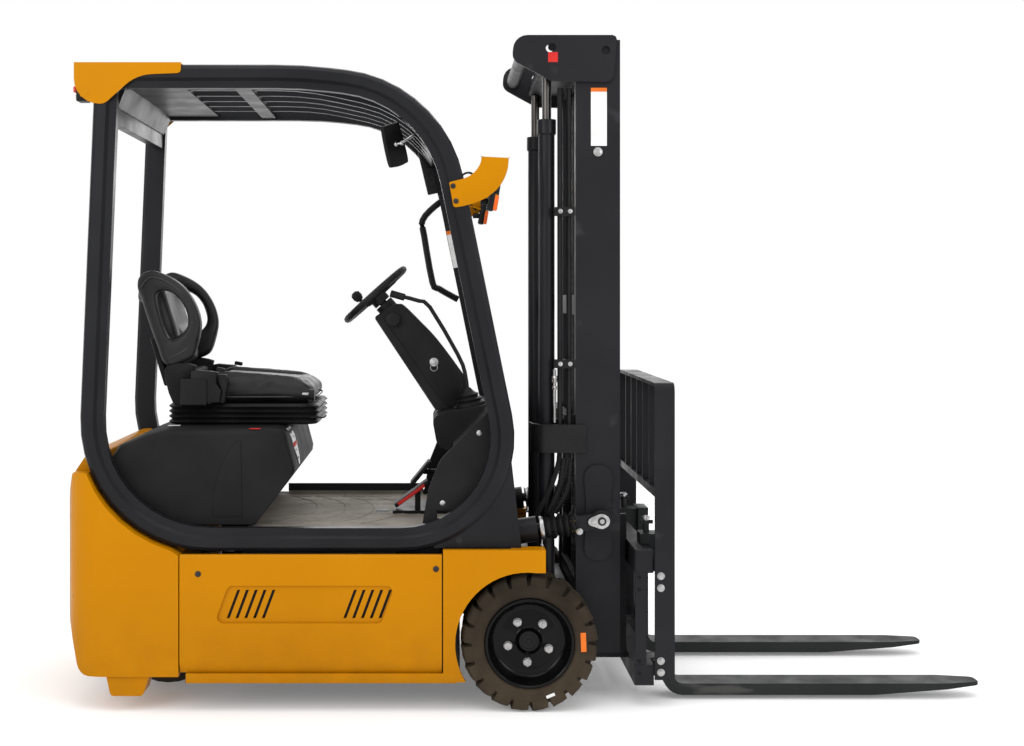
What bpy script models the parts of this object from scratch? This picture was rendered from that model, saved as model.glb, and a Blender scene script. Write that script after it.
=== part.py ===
"""Three-wheel electric counterbalance forklift with a two-stage mast.

Metres, +Z up, +X towards the fork tips, +Y to the driver's left. The origin lies on the
floor under the middle of the bounding box, which is also the front axle's station.
"""
from math import atan2, cos, hypot, pi, radians, sin, tan

import bmesh
import bpy
from mathutils import Matrix, Vector

# Overall machine
REAR_END = -1.575
FORK_TIP = 1.575
BODY_HALF = 0.53
FIT = 0.0003

# Front wheels (drive axle at x = 0)
WHEEL_RADIUS = 0.229
WHEEL_OUTER_Y = 0.535
WHEEL_WIDTH = 0.168
RIM_RADIUS = 0.1525
AXLE_Z = WHEEL_RADIUS

# Rear twin wheels on their steered carrier
STEER_X = -1.28
REAR_RADIUS = 0.190
REAR_WIDTH = 0.135
REAR_GAP = 0.050
WELL_RADIUS = 0.265
WELL_TOP = 0.450

# Side panels
PANEL_BACK = -1.175
PANEL_FRONT = -0.291
PANEL_TOP = 0.527
PANEL_BASE = 0.130
PANEL_THICK = 0.022
FENDER_FRONT = 0.054
FENDER_TOP = 0.543
ARCH_RADIUS = 0.242

# Floor plate: its full width ends at the tilt cylinders
FLOOR_TOP = 0.596
FLOOR_STEP = -0.302

# Overhead guard: outer edge of each side loop, tube depth and width
GUARD_OUTER_Y = 0.495
GUARD_WIDTH = 0.055
GUARD_DEPTH = 0.080
GUARD_BASE = 0.530
GUARD_TOP = 2.180
ROOF_HALF = GUARD_OUTER_Y - GUARD_WIDTH - FIT
MIRROR_CENTRE = (-0.462, -0.294, 1.912)
MIRROR_YAW, MIRROR_LEAN = -0.84, -0.20

# Battery hood and seat
HOOD_HALF = 0.425
HOOD_WALL = 0.012
HOOD_HINGE = (-1.425, 0.0, 0.885)
SEAT_HALF = 0.250

# Steering wheel
WHEEL_CENTRE = Vector((-0.5376, 0.0, 1.4015))
WHEEL_TILT = radians(42)
HAND_RADIUS = 0.152

# Mast
RAIL_BACK = 0.171
RAIL_FRONT = 0.325
RAIL_OUTER_Y = 0.355
RAIL_BASE = 0.158
RAIL_TOP = 2.285
INNER_OUTER_Y = 0.292
MAST_PIVOT = (0.100, 0.0, 0.165)
LIFT_X = 0.075
LIFT_Y = 0.290
LIFT_RADIUS = 0.028
LIFT_BASE = 0.345
LIFT_TOP = 2.015

# Tilt cylinders: rear pivot and rod eye
TILT_Y = 0.400
TILT_REAR = Vector((-0.250, 0.0, 0.557))
TILT_EYE = Vector((0.2535, 0.0, 0.6253))
TILT_PIN = 0.0140

# Carriage and forks
BAR_BACK = 0.360
BAR_FRONT = 0.425
BAR_HALF = 0.4715
FORK_HALF_WIDTH = 0.061
FORK_CENTRE_Y = 0.310
FORK_FACE = 0.510
FORK_THICK = 0.040
FORK_TOP_Z = 0.055

COLOURS = {
    "yellow": ((0.66, 0.29, 0.005), 0.35, 0.0),
    "frame_black": ((0.028, 0.028, 0.032), 0.45, 0.0),
    "plastic_black": ((0.016, 0.016, 0.017), 0.6, 0.0),
    "vinyl": ((0.020, 0.020, 0.021), 0.5, 0.0),
    "rubber": ((0.045, 0.040, 0.036), 0.85, 0.0),
    "rim_black": ((0.008, 0.008, 0.009), 0.2, 0.0),
    "steel": ((0.55, 0.55, 0.56), 0.3, 1.0),
    "mat_grey": ((0.10, 0.095, 0.09), 0.9, 0.0),
    "battery_grey": ((0.12, 0.13, 0.14), 0.6, 0.0),
}


def outward(bm):
    """Turn every face of a closed body outwards."""
    bmesh.ops.recalc_face_normals(bm, faces=bm.faces)
    if bm.calc_volume(signed=True) < 0:
        bmesh.ops.reverse_faces(bm, faces=bm.faces)


def material(name):
    found = bpy.data.materials.get(name)
    if found:
        return found
    colour, roughness, metallic = COLOURS[name]
    made = bpy.data.materials.new(name)
    made.use_nodes = True
    shader = made.node_tree.nodes["Principled BSDF"]
    shader.inputs["Base Color"].default_value = (*colour, 1)
    shader.inputs["Roughness"].default_value = roughness
    shader.inputs["Metallic"].default_value = metallic
    return made


def new_object(name, bm, finish, parent=None):
    """A mesh object from bm, which is in world space; parent is an unturned empty."""
    bmesh.ops.remove_doubles(bm, verts=bm.verts, dist=1e-6)
    outward(bm)
    mesh = bpy.data.meshes.new(name)
    bm.to_mesh(mesh)
    bm.free()
    obj = bpy.data.objects.new(name, mesh)
    bpy.context.scene.collection.objects.link(obj)
    obj.data.materials.append(material(finish))
    mesh.shade_smooth()
    mesh.set_sharp_from_angle(angle=radians(35))
    if parent:
        obj.parent = parent
        mesh.transform(Matrix.Translation(-parent.location))
    return obj


def joint_empty(name, location):
    empty = bpy.data.objects.new(name, None)
    empty.location = location
    bpy.context.scene.collection.objects.link(empty)
    return empty


def mirrored(bm):
    """A copy of bm reflected to the other side of the machine."""
    other = bm.copy()
    bmesh.ops.scale(other, verts=other.verts, vec=(1, -1, 1))
    bmesh.ops.reverse_faces(other, faces=other.faces)
    return other


def box(x, y, z, edge=0.0, segments=2):
    """A block between the pairs x, y and z, with its edges rounded when edge is given."""
    bm = bmesh.new()
    bmesh.ops.create_cube(bm, size=1)
    size = (x[1] - x[0], y[1] - y[0], z[1] - z[0])
    bmesh.ops.scale(bm, verts=bm.verts, vec=size)
    centre = ((x[0] + x[1]) / 2, (y[0] + y[1]) / 2, (z[0] + z[1]) / 2)
    bmesh.ops.translate(bm, verts=bm.verts, vec=centre)
    if edge:
        bmesh.ops.bevel(bm, geom=bm.edges[:], offset=edge, segments=segments,
                        affect="EDGES", profile=0.5, material=-1)
    return bm


def prism(outline, low, high, axis="Y"):
    """An outline extruded along an axis: (x, z) points for Y, (y, z) for X, (x, y) for Z."""
    bm = bmesh.new()
    place = {
        "X": lambda a, b, t: (t, a, b),
        "Y": lambda a, b, t: (a, t, b),
        "Z": lambda a, b, t: (a, b, t),
    }[axis]
    base = [bm.verts.new(place(a, b, low)) for a, b in outline]
    top = [bm.verts.new(place(a, b, high)) for a, b in outline]
    bm.faces.new(base)
    bm.faces.new(reversed(top))
    count = len(outline)
    for i in range(count):
        j = (i + 1) % count
        bm.faces.new((base[i], top[i], top[j], base[j]))
    outward(bm)
    return bm


def round_off(bm, offset, wanted):
    """Round the edges of a prism's two end faces (those that run across Y) where wanted."""
    rims = [edge for edge in bm.edges
            if abs(edge.verts[0].co.y - edge.verts[1].co.y) < 1e-6 and wanted(edge)]
    bmesh.ops.bevel(bm, geom=rims, offset=offset, segments=2, affect="EDGES", profile=0.5,
                    material=-1)


def frame_along(direction):
    return Vector(direction).normalized().to_track_quat("Z", "Y").to_matrix().to_4x4()


def turned(profile, start, direction, segments=32):
    """Revolve (radius, distance) points around the line from start along direction."""
    bm = bmesh.new()
    verts = [bm.verts.new((radius, 0, along)) for radius, along in profile]
    for i, vert in enumerate(verts):
        bm.edges.new((vert, verts[(i + 1) % len(verts)]))
    bmesh.ops.spin(bm, geom=bm.verts[:] + bm.edges[:], cent=(0, 0, 0), axis=(0, 0, 1),
                   angle=2 * pi, steps=segments, use_merge=True)
    bmesh.ops.remove_doubles(bm, verts=bm.verts, dist=1e-5)
    loose = [edge for edge in bm.edges if not edge.link_faces]
    bmesh.ops.delete(bm, geom=loose, context="EDGES")
    outward(bm)
    bm.transform(Matrix.Translation(start) @ frame_along(direction))
    return bm


def rod(start, end, radius, segments=20):
    """A solid round bar between two points."""
    bm = bmesh.new()
    span = Vector(end) - Vector(start)
    bmesh.ops.create_cone(bm, cap_ends=True, segments=segments, radius1=radius,
                          radius2=radius, depth=span.length)
    middle = (Vector(start) + Vector(end)) / 2
    bm.transform(Matrix.Translation(middle) @ frame_along(span))
    return bm


def rounded(corners, closed=True):
    """Points along a polygon whose corners (a, b, radius, steps) are filleted."""
    points = []
    count = len(corners)
    for i, (a, b, radius, steps) in enumerate(corners):
        if not radius or (not closed and i in (0, count - 1)):
            points.append((a, b))
            continue
        here = Vector((a, b))
        back = (Vector(corners[i - 1][:2]) - here).normalized()
        ahead = (Vector(corners[(i + 1) % count][:2]) - here).normalized()
        half = back.angle(ahead) / 2
        centre = here + (back + ahead).normalized() * (radius / sin(half))
        reach = radius / tan(half)
        first = here + back * reach - centre
        turn = first.angle_signed(here + ahead * reach - centre)
        for k in range(steps + 1):
            spoke = first.copy()
            spoke.rotate(Matrix.Rotation(-turn * k / steps, 2))
            points.append(tuple(centre + spoke))
    return points


def sweep(path, section, outward_y, closed=True):
    """Run a (depth, width) section along an (x, z) path; depth goes to the path's left."""
    bm = bmesh.new()
    count = len(path)
    rings = []
    for i, point in enumerate(path):
        here = Vector(point)
        before = Vector(path[i - 1]) if closed or i else here
        after = Vector(path[(i + 1) % count]) if closed or i < count - 1 else here
        leaving = after - here if after != here else here - before
        arriving = here - before if before != here else leaving
        left_a = Vector((-arriving.y, arriving.x)).normalized()
        left_b = Vector((-leaving.y, leaving.x)).normalized()
        mitre = (left_a + left_b).normalized()
        mitre /= max(mitre.dot(left_a), 0.3)
        ring = []
        for depth, width in section:
            spot = here + mitre * depth
            ring.append(bm.verts.new((spot.x, outward_y(width), spot.y)))
        rings.append(ring)
    last = count if closed else count - 1
    for i in range(last):
        ring, following = rings[i], rings[(i + 1) % count]
        for k in range(len(section)):
            n = (k + 1) % len(section)
            bm.faces.new((ring[k], ring[n], following[n], following[k]))
    if not closed:
        bm.faces.new(rings[0])
        bm.faces.new(reversed(rings[-1]))
    outward(bm)
    return bm


def bent_bar(points, radius, sides=12, flat=None):
    """A round bar through 3-D points; flat squashes it along Y."""
    bm = bmesh.new()
    rings = []
    count = len(points)
    for i, point in enumerate(points):
        before = Vector(points[max(i - 1, 0)])
        after = Vector(points[min(i + 1, count - 1)])
        turn = frame_along(after - before)
        ring = []
        for k in range(sides):
            angle = 2 * pi * k / sides
            offset = turn @ Vector((radius * cos(angle), radius * sin(angle), 0))
            if flat:
                offset.y *= flat
            ring.append(bm.verts.new(Vector(point) + offset))
        rings.append(ring)
    for ring, following in zip(rings, rings[1:]):
        for k in range(sides):
            n = (k + 1) % sides
            bm.faces.new((ring[k], ring[n], following[n], following[k]))
    bm.faces.new(rings[0])
    bm.faces.new(reversed(rings[-1]))
    outward(bm)
    return bm


def smooth_route(points, steps=6):
    """Catmull-Rom points through a short list of 3-D points."""
    spots = [Vector(p) for p in points]
    spots = [2 * spots[0] - spots[1]] + spots + [2 * spots[-1] - spots[-2]]
    route = []
    for i in range(1, len(spots) - 2):
        a, b, c, d = spots[i - 1:i + 3]
        for k in range(steps):
            t = k / steps
            route.append(0.5 * (2 * b + (c - a) * t + (2 * a - 5 * b + 4 * c - d) * t * t
                                + (3 * b - a - 3 * c + d) * t ** 3))
    route.append(spots[-2])
    return route


def helper(bm):
    mesh = bpy.data.meshes.new("helper")
    outward(bm)
    bm.to_mesh(mesh)
    bm.free()
    obj = bpy.data.objects.new("helper", mesh)
    bpy.context.scene.collection.objects.link(obj)
    return obj


def combined(base, pieces, operation="UNION"):
    """Join pieces to base, or cut them from it, and return the result as a bmesh."""
    target = helper(base)
    others = [helper(piece) for piece in pieces]
    for other in others:
        step = target.modifiers.new("step", "BOOLEAN")
        step.operation = operation
        step.solver = "MANIFOLD"
        step.object = other
    graph = bpy.context.evaluated_depsgraph_get()
    result = bmesh.new()
    result.from_object(target, graph)
    for obj in [target] + others:
        mesh = obj.data
        bpy.data.objects.remove(obj)
        bpy.data.meshes.remove(mesh)
    bmesh.ops.dissolve_limit(result, angle_limit=radians(0.5), verts=result.verts,
                             edges=result.edges)
    return result


def both_sides(name, build, finish, parents=(None, None)):
    """right_NAME from build(), on the -Y side, and its reflection left_NAME."""
    shape = build()
    left = mirrored(shape)
    return (new_object("right_" + name, shape, finish, parents[0]),
            new_object("left_" + name, left, finish, parents[1]))


def guard_path(inset=0.0):
    """Outer edge of the guard's side loop, anticlockwise seen from the right side."""
    rear_foot = (-1.539, GUARD_BASE)
    front_foot = (0.0386, GUARD_BASE)
    front_brow = (-0.2875, 2.125)
    roof_bend = (-0.7655, GUARD_TOP)
    rear_top = (-1.470, GUARD_TOP)
    corners = [
        (*rear_foot, 0.440, 11),
        (*front_foot, 0.385, 12),
        (*front_brow, 0.460, 9),
        (*roof_bend, 1.600, 2),
        (*rear_top, 0.095, 4),
    ]
    path = rounded(corners)
    if not inset:
        return path
    moved = []
    for i, point in enumerate(path):
        ahead = Vector(path[(i + 1) % len(path)]) - Vector(path[i - 1])
        left = Vector((-ahead.y, ahead.x)).normalized()
        moved.append(tuple(Vector(point) + left * inset))
    return moved


def build_chassis():
    wall = 0.012
    back, front = -1.000, -0.265
    half = BODY_HALF - PANEL_THICK - 0.004
    low, high = 0.105, 0.520
    hull = box((back, front), (-half, half), (low, high))
    bay = box((back + wall, -0.435), (-half + 0.03, half - 0.03), (low + wall, high + 0.1))
    drive_bay = box((-0.420, front - wall), (-half + 0.03, half - 0.03), (low - 0.1, high - wall))
    cheeks = [box((-1.176, back + 0.02), (side * half - 0.012, side * half + 0.012),
                  (low + 0.02, high - 0.03)) for side in (0.975, -0.975)]
    nose = box((front - 0.02, 0.008), (-0.330, 0.330), (0.300, high))
    nose_hollow = box((front - 0.1, -0.004), (-0.318, 0.318), (0.200, high - wall))
    sills = [box((PANEL_BACK + 0.02, PANEL_FRONT - FIT), (side * 0.517 - 0.013, side * 0.517 + 0.013),
                 (0.098, PANEL_BASE - 0.004)) for side in (1, -1)]
    floor = box((-0.985, FLOOR_STEP), (-0.438, 0.438), (high - 0.004, FLOOR_TOP))
    tread = box((-0.400, -0.100), (-0.335, 0.335), (high - 0.004, FLOOR_TOP))
    floor_hollow = box((-0.960, FLOOR_STEP - wall), (-0.420, 0.420), (high - 0.2, 0.584))
    tread_hollow = box((-0.420, -0.120), (-0.320, 0.320), (high - 0.2, 0.584))
    hull = combined(hull, cheeks + [nose, floor, tread] + sills)
    tang_room = [box((-0.300, -0.255), (side * TILT_Y - 0.050, side * TILT_Y + 0.050),
                     (0.490, 0.530)) for side in (1, -1)]
    hollows = [bay, drive_bay, nose_hollow, floor_hollow, tread_hollow]
    hull = combined(hull, hollows + tang_room, "DIFFERENCE")
    pivot = [(-0.300, 0.495), (-0.268, 0.430), (-0.232, 0.525), (-0.232, 0.580),
             (-0.285, 0.580)]
    clevis = []
    for side in (1, -1):
        for offset in (-0.030, 0.030):
            middle = side * TILT_Y + offset
            clevis.append(prism(pivot, middle - 0.006, middle + 0.006))
        clevis.append(rod((TILT_REAR.x, side * TILT_Y - 0.032, TILT_REAR.z),
                          (TILT_REAR.x, side * TILT_Y + 0.032, TILT_REAR.z), TILT_PIN, 16))
    hull = combined(hull, clevis)
    axle_room = turned([(0, -0.45), (0.082, -0.45), (0.082, 0.45), (0, 0.45)],
                       (0, 0, AXLE_Z), (0, 1, 0), 24)
    hull = combined(hull, [axle_room], "DIFFERENCE")
    new_object("chassis_frame", hull, "frame_black")


def build_counterweight():
    gap = 0.006
    loop = [point for point in guard_path(-gap)
            if point[0] < PANEL_BACK + 0.03 and point[1] < 0.800]
    loop.sort(key=lambda point: point[0])
    side = [(PANEL_BACK - 0.004, 0.118), (PANEL_BACK - 0.004, GUARD_BASE - gap)]
    arc = [point for point in reversed(loop) if point[0] < PANEL_BACK - 0.02]
    rear = rounded([
        (-1.505, 0.800, 0, 0), (-1.550, 0.800, 0.020, 3), (REAR_END, 0.690, 0.05, 3),
        (REAR_END, 0.330, 0.30, 4), (-1.520, 0.118, 0.045, 4), (-1.300, 0.118, 0, 0),
    ], closed=False)
    outline = side + arc + rear[:-1]
    lobe = prism(outline, -BODY_HALF, BODY_HALF)
    corner = 0.150
    plan = rounded([
        (PANEL_BACK, -BODY_HALF, 0, 0), (PANEL_BACK, BODY_HALF, 0, 0),
        (REAR_END, BODY_HALF, corner, 8), (REAR_END, -BODY_HALF, corner, 8),
    ])
    lobe = combined(lobe, [prism(plan, 0.0, 1.0, "Z")], "INTERSECT")
    crown = rounded([
        (-1.440, 0.560, 0, 0), (-1.440, 0.868, 0.012, 2), (-1.500, 0.868, 0.06, 4),
        (-1.553, 0.790, 0.06, 4), (-1.553, 0.560, 0, 0),
    ])
    hump = prism(crown, -0.428, 0.428)
    seat_room = box((-1.4355, -1.0), (-0.434, 0.434), (0.600, 1.0))
    well = rod((STEER_X, 0, -0.1), (STEER_X, 0, WELL_TOP), WELL_RADIUS, 40)
    king_bore = rod((STEER_X, 0, WELL_TOP - 0.05), (STEER_X, 0, 0.560), 0.042, 24)
    feet = []
    for y in (-1, 1):
        foot = rounded([(-1.424, 0.125, 0, 0), (-1.408, 0.0515, 0.012, 2),
                        (-1.300, 0.0515, 0.012, 2), (-1.277, 0.125, 0, 0)])
        feet.append(prism(foot, y * 0.465 - 0.055, y * 0.465 + 0.055))
    body = combined(lobe, [hump] + feet)
    body = combined(body, [seat_room, well, king_bore], "DIFFERENCE")
    new_object("counterweight", body, "yellow")


def panel_outline():
    """Section of a side panel, seen along X, with its lower edge folded inwards."""
    outer = -BODY_HALF
    inner = outer + PANEL_THICK
    fold = 0.026
    return [(outer, PANEL_BASE + 0.037), (outer, PANEL_TOP - 0.008), (outer + 0.008, PANEL_TOP),
            (inner, PANEL_TOP), (inner, PANEL_BASE), (outer + fold * 0.6, PANEL_BASE)]


def side_panel():
    section = panel_outline()
    panel = prism(section, PANEL_BACK, PANEL_FRONT - 0.004, "X")
    slant = 0.018
    low, high = 0.298, 0.424
    recess = prism(rounded([
        (-1.040 - slant, low, 0.02, 3), (-0.480 - slant, low, 0.02, 3),
        (-0.470 + slant, high, 0.02, 3), (-1.030 + slant, high, 0.02, 3),
    ]), -BODY_HALF - 0.01, -BODY_HALF + 0.009)
    panel = combined(panel, [recess], "DIFFERENCE")
    slots = []
    for first in (-1.000, -0.608):
        for i in range(5):
            x = first + 0.0295 * i
            slots.append(prism([(x - slant, 0.313), (x - slant + 0.010, 0.313),
                                (x + slant + 0.010, 0.409), (x + slant, 0.409)],
                               -BODY_HALF - 0.01, -BODY_HALF + 0.05))
    return combined(panel, slots, "DIFFERENCE")


def front_fender():
    outer = -BODY_HALF
    shell = box((PANEL_FRONT + FIT, FENDER_FRONT), (outer, outer + PANEL_THICK),
                (0.100, FENDER_TOP))
    flange = box((PANEL_FRONT + FIT, FENDER_FRONT), (outer, outer + 0.078),
                 (FENDER_TOP - 0.016, FENDER_TOP))
    shell = combined(shell, [flange])
    arch = rod((-0.008, outer - 0.1, 0.226), (-0.008, -0.2, 0.226), ARCH_RADIUS, 64)
    nose = box((-0.008, FENDER_FRONT + 0.1), (outer - 0.1, -0.2), (0.0, 0.466))
    rail_room = box((PANEL_FRONT - 0.1, -0.060), (-0.500, -0.430), (GUARD_BASE - 0.001, 0.7))
    return combined(shell, [arch, nose, rail_room], "DIFFERENCE")


def build_drive_axle():
    housing = rod((0, -0.345, AXLE_Z), (0, 0.345, AXLE_Z), 0.060, 20)
    pieces = []
    for side in (-1, 1):
        lug = rounded([(-0.02, 0.200, 0, 0), (0.02, 0.120, 0.02, 2), (0.124, 0.125, 0.028, 4),
                       (0.124, 0.205, 0.028, 4), (0.02, 0.280, 0, 0)])
        middle = side * 0.322
        pieces.append(prism(lug, middle - 0.013, middle + 0.013))
        pieces.append(rod((MAST_PIVOT[0], side * 0.262, MAST_PIVOT[2]),
                          (MAST_PIVOT[0], side * 0.322, MAST_PIVOT[2]), 0.018, 16))
        pieces.append(rod((0, side * 0.340, AXLE_Z), (0, side * 0.376, AXLE_Z), 0.042, 16))
        pieces.append(box((-0.09, 0.05), (side * 0.20 - 0.03, side * 0.20 + 0.03),
                          (AXLE_Z + 0.04, 0.2995)))
    new_object("drive_axle", combined(housing, pieces), "frame_black")


def build_battery():
    block = box((-0.985, -0.445), (-0.415, 0.415), (0.1175, 0.560), edge=0.008, segments=1)
    new_object("battery_block", block, "battery_grey")


def build_floor_mat():
    thick = 0.010
    low = FLOOR_TOP + FIT
    mat = box((-0.960, FLOOR_STEP - 0.002), (-0.434, 0.434), (low, low + thick))
    tongue = box((-0.350, -0.135), (-0.330, 0.330), (low, low + thick))
    kick = box((-0.900, -0.364), (0.424, 0.434), (low + thick / 2, 0.648))
    new_object("floor_mat", combined(mat, [tongue, kick]), "mat_grey")


def build_dash():
    half = 0.432
    profile = rounded([
        (-0.075, 0.6070, 0, 0), (-0.075, 1.000, 0.02, 3), (-0.136, 1.000, 0.01, 2),
        (-0.232, 0.903, 0.05, 3), (-0.300, 0.835, 0.10, 3), (-0.340, 0.735, 0.10, 3),
        (-0.362, 0.6070, 0, 0),
    ])
    cowl = prism(profile, -half, half)
    foot_well = box((-0.50, -0.100), (-half + 0.024, half - 0.024), (0.50, 0.880))
    bulge = rounded([
        (-0.110, 0.820, 0, 0), (-0.110, 1.012, 0.02, 3), (-0.275, 0.982, 0.03, 4),
        (-0.328, 0.960, 0.03, 4), (-0.310, 0.860, 0.04, 3), (-0.230, 0.820, 0, 0),
    ])
    nose = prism(bulge, -0.190, 0.190)
    under = box((-0.300, -0.100), (-0.175, 0.175), (0.780, 0.925))
    tilt_room = [box((-0.310, -0.05), (side * 0.400 - 0.056, side * 0.400 + 0.056),
                     (0.500, 0.662)) for side in (1, -1)]
    cowl = combined(cowl, [foot_well], "DIFFERENCE")
    cowl = combined(cowl, [nose])
    cowl = combined(cowl, [under] + tilt_room, "DIFFERENCE")
    new_object("dash_cowl", cowl, "plastic_black")


def build_steering_column():
    foot = Vector((-0.245, 0, 0.960))
    head = Vector((-0.500, 0, 1.345))
    up = (head - foot).normalized()
    turn = Matrix.Rotation(atan2(up.x, up.z), 4, "Y")
    length = (head - foot).length
    trunk = box((-0.050, 0.050), (-0.055, 0.055), (0, length), edge=0.010)
    trunk.transform(Matrix.Translation(foot) @ turn)
    normal = Vector((-sin(WHEEL_TILT), 0, cos(WHEEL_TILT)))
    collar_top = WHEEL_CENTRE - normal * 0.045
    collar = rod(collar_top - normal * 0.090, collar_top, 0.036, 24)
    room = prism([(-0.45, 0.90), (-0.05, 0.90), (-0.05, 1.0128), (-0.110, 1.0128),
                  (-0.275, 0.9828), (-0.45, 0.9515)], -0.2, 0.2)
    column = combined(trunk, [collar])
    new_object("steering_column", combined(column, [room], "DIFFERENCE"), "plastic_black")


def build_steering_wheel():
    hub = joint_empty("steering_wheel_axis", WHEEL_CENTRE)
    normal = Vector((-sin(WHEEL_TILT), 0, cos(WHEEL_TILT)))
    tube = 0.0135
    rim = turned([(HAND_RADIUS - tube + tube * cos(2 * pi * k / 8), tube * sin(2 * pi * k / 8))
                  for k in range(8)], WHEEL_CENTRE, normal, 24)
    pieces = [rod(WHEEL_CENTRE - normal * 0.040, WHEEL_CENTRE + normal * 0.012, 0.034, 16)]
    across = frame_along(normal)
    for k in range(3):
        angle = radians(90 + 120 * k)
        reach = across @ Vector((cos(angle), sin(angle), 0)) * (HAND_RADIUS - tube)
        pieces.append(bent_bar([WHEEL_CENTRE - normal * 0.012 + reach * 0.1,
                                WHEEL_CENTRE - normal * 0.010 + reach * 0.6,
                                WHEEL_CENTRE + reach], 0.0085, 6))
    knob_foot = WHEEL_CENTRE + Vector((-0.045, 0.131, -0.0405))
    pieces.append(rod(knob_foot - normal * 0.010, knob_foot + normal * 0.034, 0.008, 8))
    pieces.append(turned([(0, 0.024), (0.014, 0.026), (0.020, 0.040), (0.019, 0.056),
                          (0.010, 0.064), (0, 0.065)], knob_foot, normal, 10))
    new_object("steering_wheel", combined(rim, pieces), "plastic_black", hub)


def build_lever_and_pedal():
    route = smooth_route([
        (-0.199, -0.125, 1.050), (-0.209, -0.125, 1.120), (-0.235, -0.125, 1.185),
        (-0.335, -0.115, 1.355), (-0.375, -0.108, 1.378), (-0.440, -0.100, 1.395),
    ], 2)
    lever = bent_bar(route, 0.0075, 8)
    boot = turned([(0, 0), (0.058, 0), (0.058, 0.010), (0.044, 0.016), (0.049, 0.024),
                   (0.035, 0.032), (0.039, 0.041), (0.024, 0.050), (0.012, 0.066), (0, 0.066)],
                  (-0.190, -0.125, 0.9983), (-0.18, 0, 1), 12)
    grip = rod((-0.428, -0.102, 1.391), (-0.478, -0.094, 1.405), 0.013, 16)
    new_object("control_lever", combined(lever, [boot, grip]), "plastic_black")
    slope = (Vector((-0.340, 0, 0.722)) - Vector((-0.465, 0, 0.630))).normalized()
    foot = box((0, 0.150), (-0.115, -0.035), (-0.008, 0.008), edge=0.004)
    foot.transform(Matrix.Translation((-0.462, 0, 0.632)) @ Matrix.Rotation(
        -atan2(slope.z, slope.x), 4, "Y"))
    brake = box((0, 0.110), (0.040, 0.130), (-0.008, 0.008), edge=0.004)
    brake.transform(Matrix.Translation((-0.405, 0, 0.690)) @ Matrix.Rotation(
        -atan2(slope.z, slope.x) - 0.25, 4, "Y"))
    base = box((-0.470, -0.115), (-0.125, 0.140), (0.6070, 0.6180))
    arm = bent_bar([(-0.360, 0.085, 0.735), (-0.300, 0.085, 0.735), (-0.270, 0.085, 0.700),
                    (-0.265, 0.085, 0.610)], 0.010, 10)
    stand = box((-0.390, -0.370), (-0.100, -0.050), (0.610, 0.690))
    new_object("foot_pedals", combined(base, [foot, brake, arm, stand]), "plastic_black")


def guard_frame():
    section = [(0.000, 0.018), (0.005, 0.007), (0.016, 0.000), (0.046, 0.000), (0.056, 0.013),
               (GUARD_DEPTH, 0.014), (GUARD_DEPTH, 0.053), (0.012, GUARD_WIDTH),
               (0.000, 0.044)]
    loop = sweep(guard_path(), section, lambda width: -GUARD_OUTER_Y + width)
    inner = [point for point in guard_path(0.02) if point[0] > -0.35 and 0.56 < point[1] < 0.82]
    plate = inner + [(-0.058, 0.830), (-0.025, FENDER_TOP + FIT), (-0.320, FENDER_TOP + FIT)]
    gusset = prism(plate, -0.484, -0.456)
    return combined(loop, [gusset])


def build_roof():
    half = ROOF_HALF
    top = guard_path(0.012)
    roof_line = [point for point in top if point[1] > 1.90 and point[0] > -1.3]
    roof_line = [(-1.372, GUARD_TOP - 0.012)] + sorted(roof_line)
    slat = [(0.0, 0.0), (0.018, 0.0), (0.018, 0.022), (0.0, 0.022)]
    roof = box((-1.385, -1.178), (-half, half), (2.112, 2.124))
    pieces = [box((-1.006, -0.951), (-half, half), (2.106, 2.124))]
    pieces.append(box((-1.440, -1.405), (-half, half), (1.986, 2.050)))
    pieces.append(prism([(-1.412, 2.040), (-1.400, 2.040), (-1.370, 2.114), (-1.382, 2.122)],
                        -half, half))
    line = rounded([(-1.200, 2.135, 0, 0), (-0.770, 2.135, 1.0, 3), (-0.440, 2.062, 0.40, 4),
                    (-0.335, 1.940, 0, 0)], closed=False)
    line.reverse()
    for k in range(5):
        middle = (k - 2) * 0.147
        pieces.append(sweep(line, slat, lambda width, y=middle: y - 0.011 + width, closed=False))
    pieces.append(prism([(-0.400, 2.000), (-0.330, 1.905), (-0.316, 1.915), (-0.386, 2.010)],
                        -half, half))
    new_object("guard_roof", combined(roof, pieces), "frame_black")


def roof_cap():
    outer = -GUARD_OUTER_Y - FIT
    outline = rounded([
        (-1.5366, 2.1805, 0, 0), (-1.5366, 2.045, 0.085, 6), (-1.434, 2.045, 0.04, 4),
        (-1.325, 2.143, 0.14, 6), (-1.1755, 2.149, 0.012, 2), (-1.1755, 2.1805, 0, 0),
    ])
    plate = prism(outline, outer - 0.004, outer)
    flange = box((-1.5366, -1.1755), (outer - 0.004, -0.440), (GUARD_TOP + FIT, GUARD_TOP + 0.005))
    lamp = box((-1.534, -1.498), (-0.480, -0.424), (2.058, 2.108), edge=0.004, segments=1)
    bracket = box((-1.515, -1.489), (-0.500, -0.470), (2.070, 2.100))
    return combined(plate, [flange, lamp, bracket])


def front_light():
    outer = -GUARD_OUTER_Y - FIT
    outline = rounded([
        (-0.271, 1.7800, 0.008, 2), (-0.2335, 1.7900, 0, 0), (-0.193, 1.8107, 0.10, 4),
        (-0.1627, 1.8664, 0, 0), (-0.0699, 1.8630, 0, 0), (-0.0885, 1.7837, 0.16, 5),
        (-0.148, 1.708, 0.16, 5), (-0.2535, 1.694, 0.008, 2),
    ])
    plate = prism(outline, outer - 0.004, outer)
    housing = box((-0.148, -0.098), (-0.500, -0.448), (1.678, 1.742), edge=0.006)
    return combined(plate, [housing])


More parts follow.
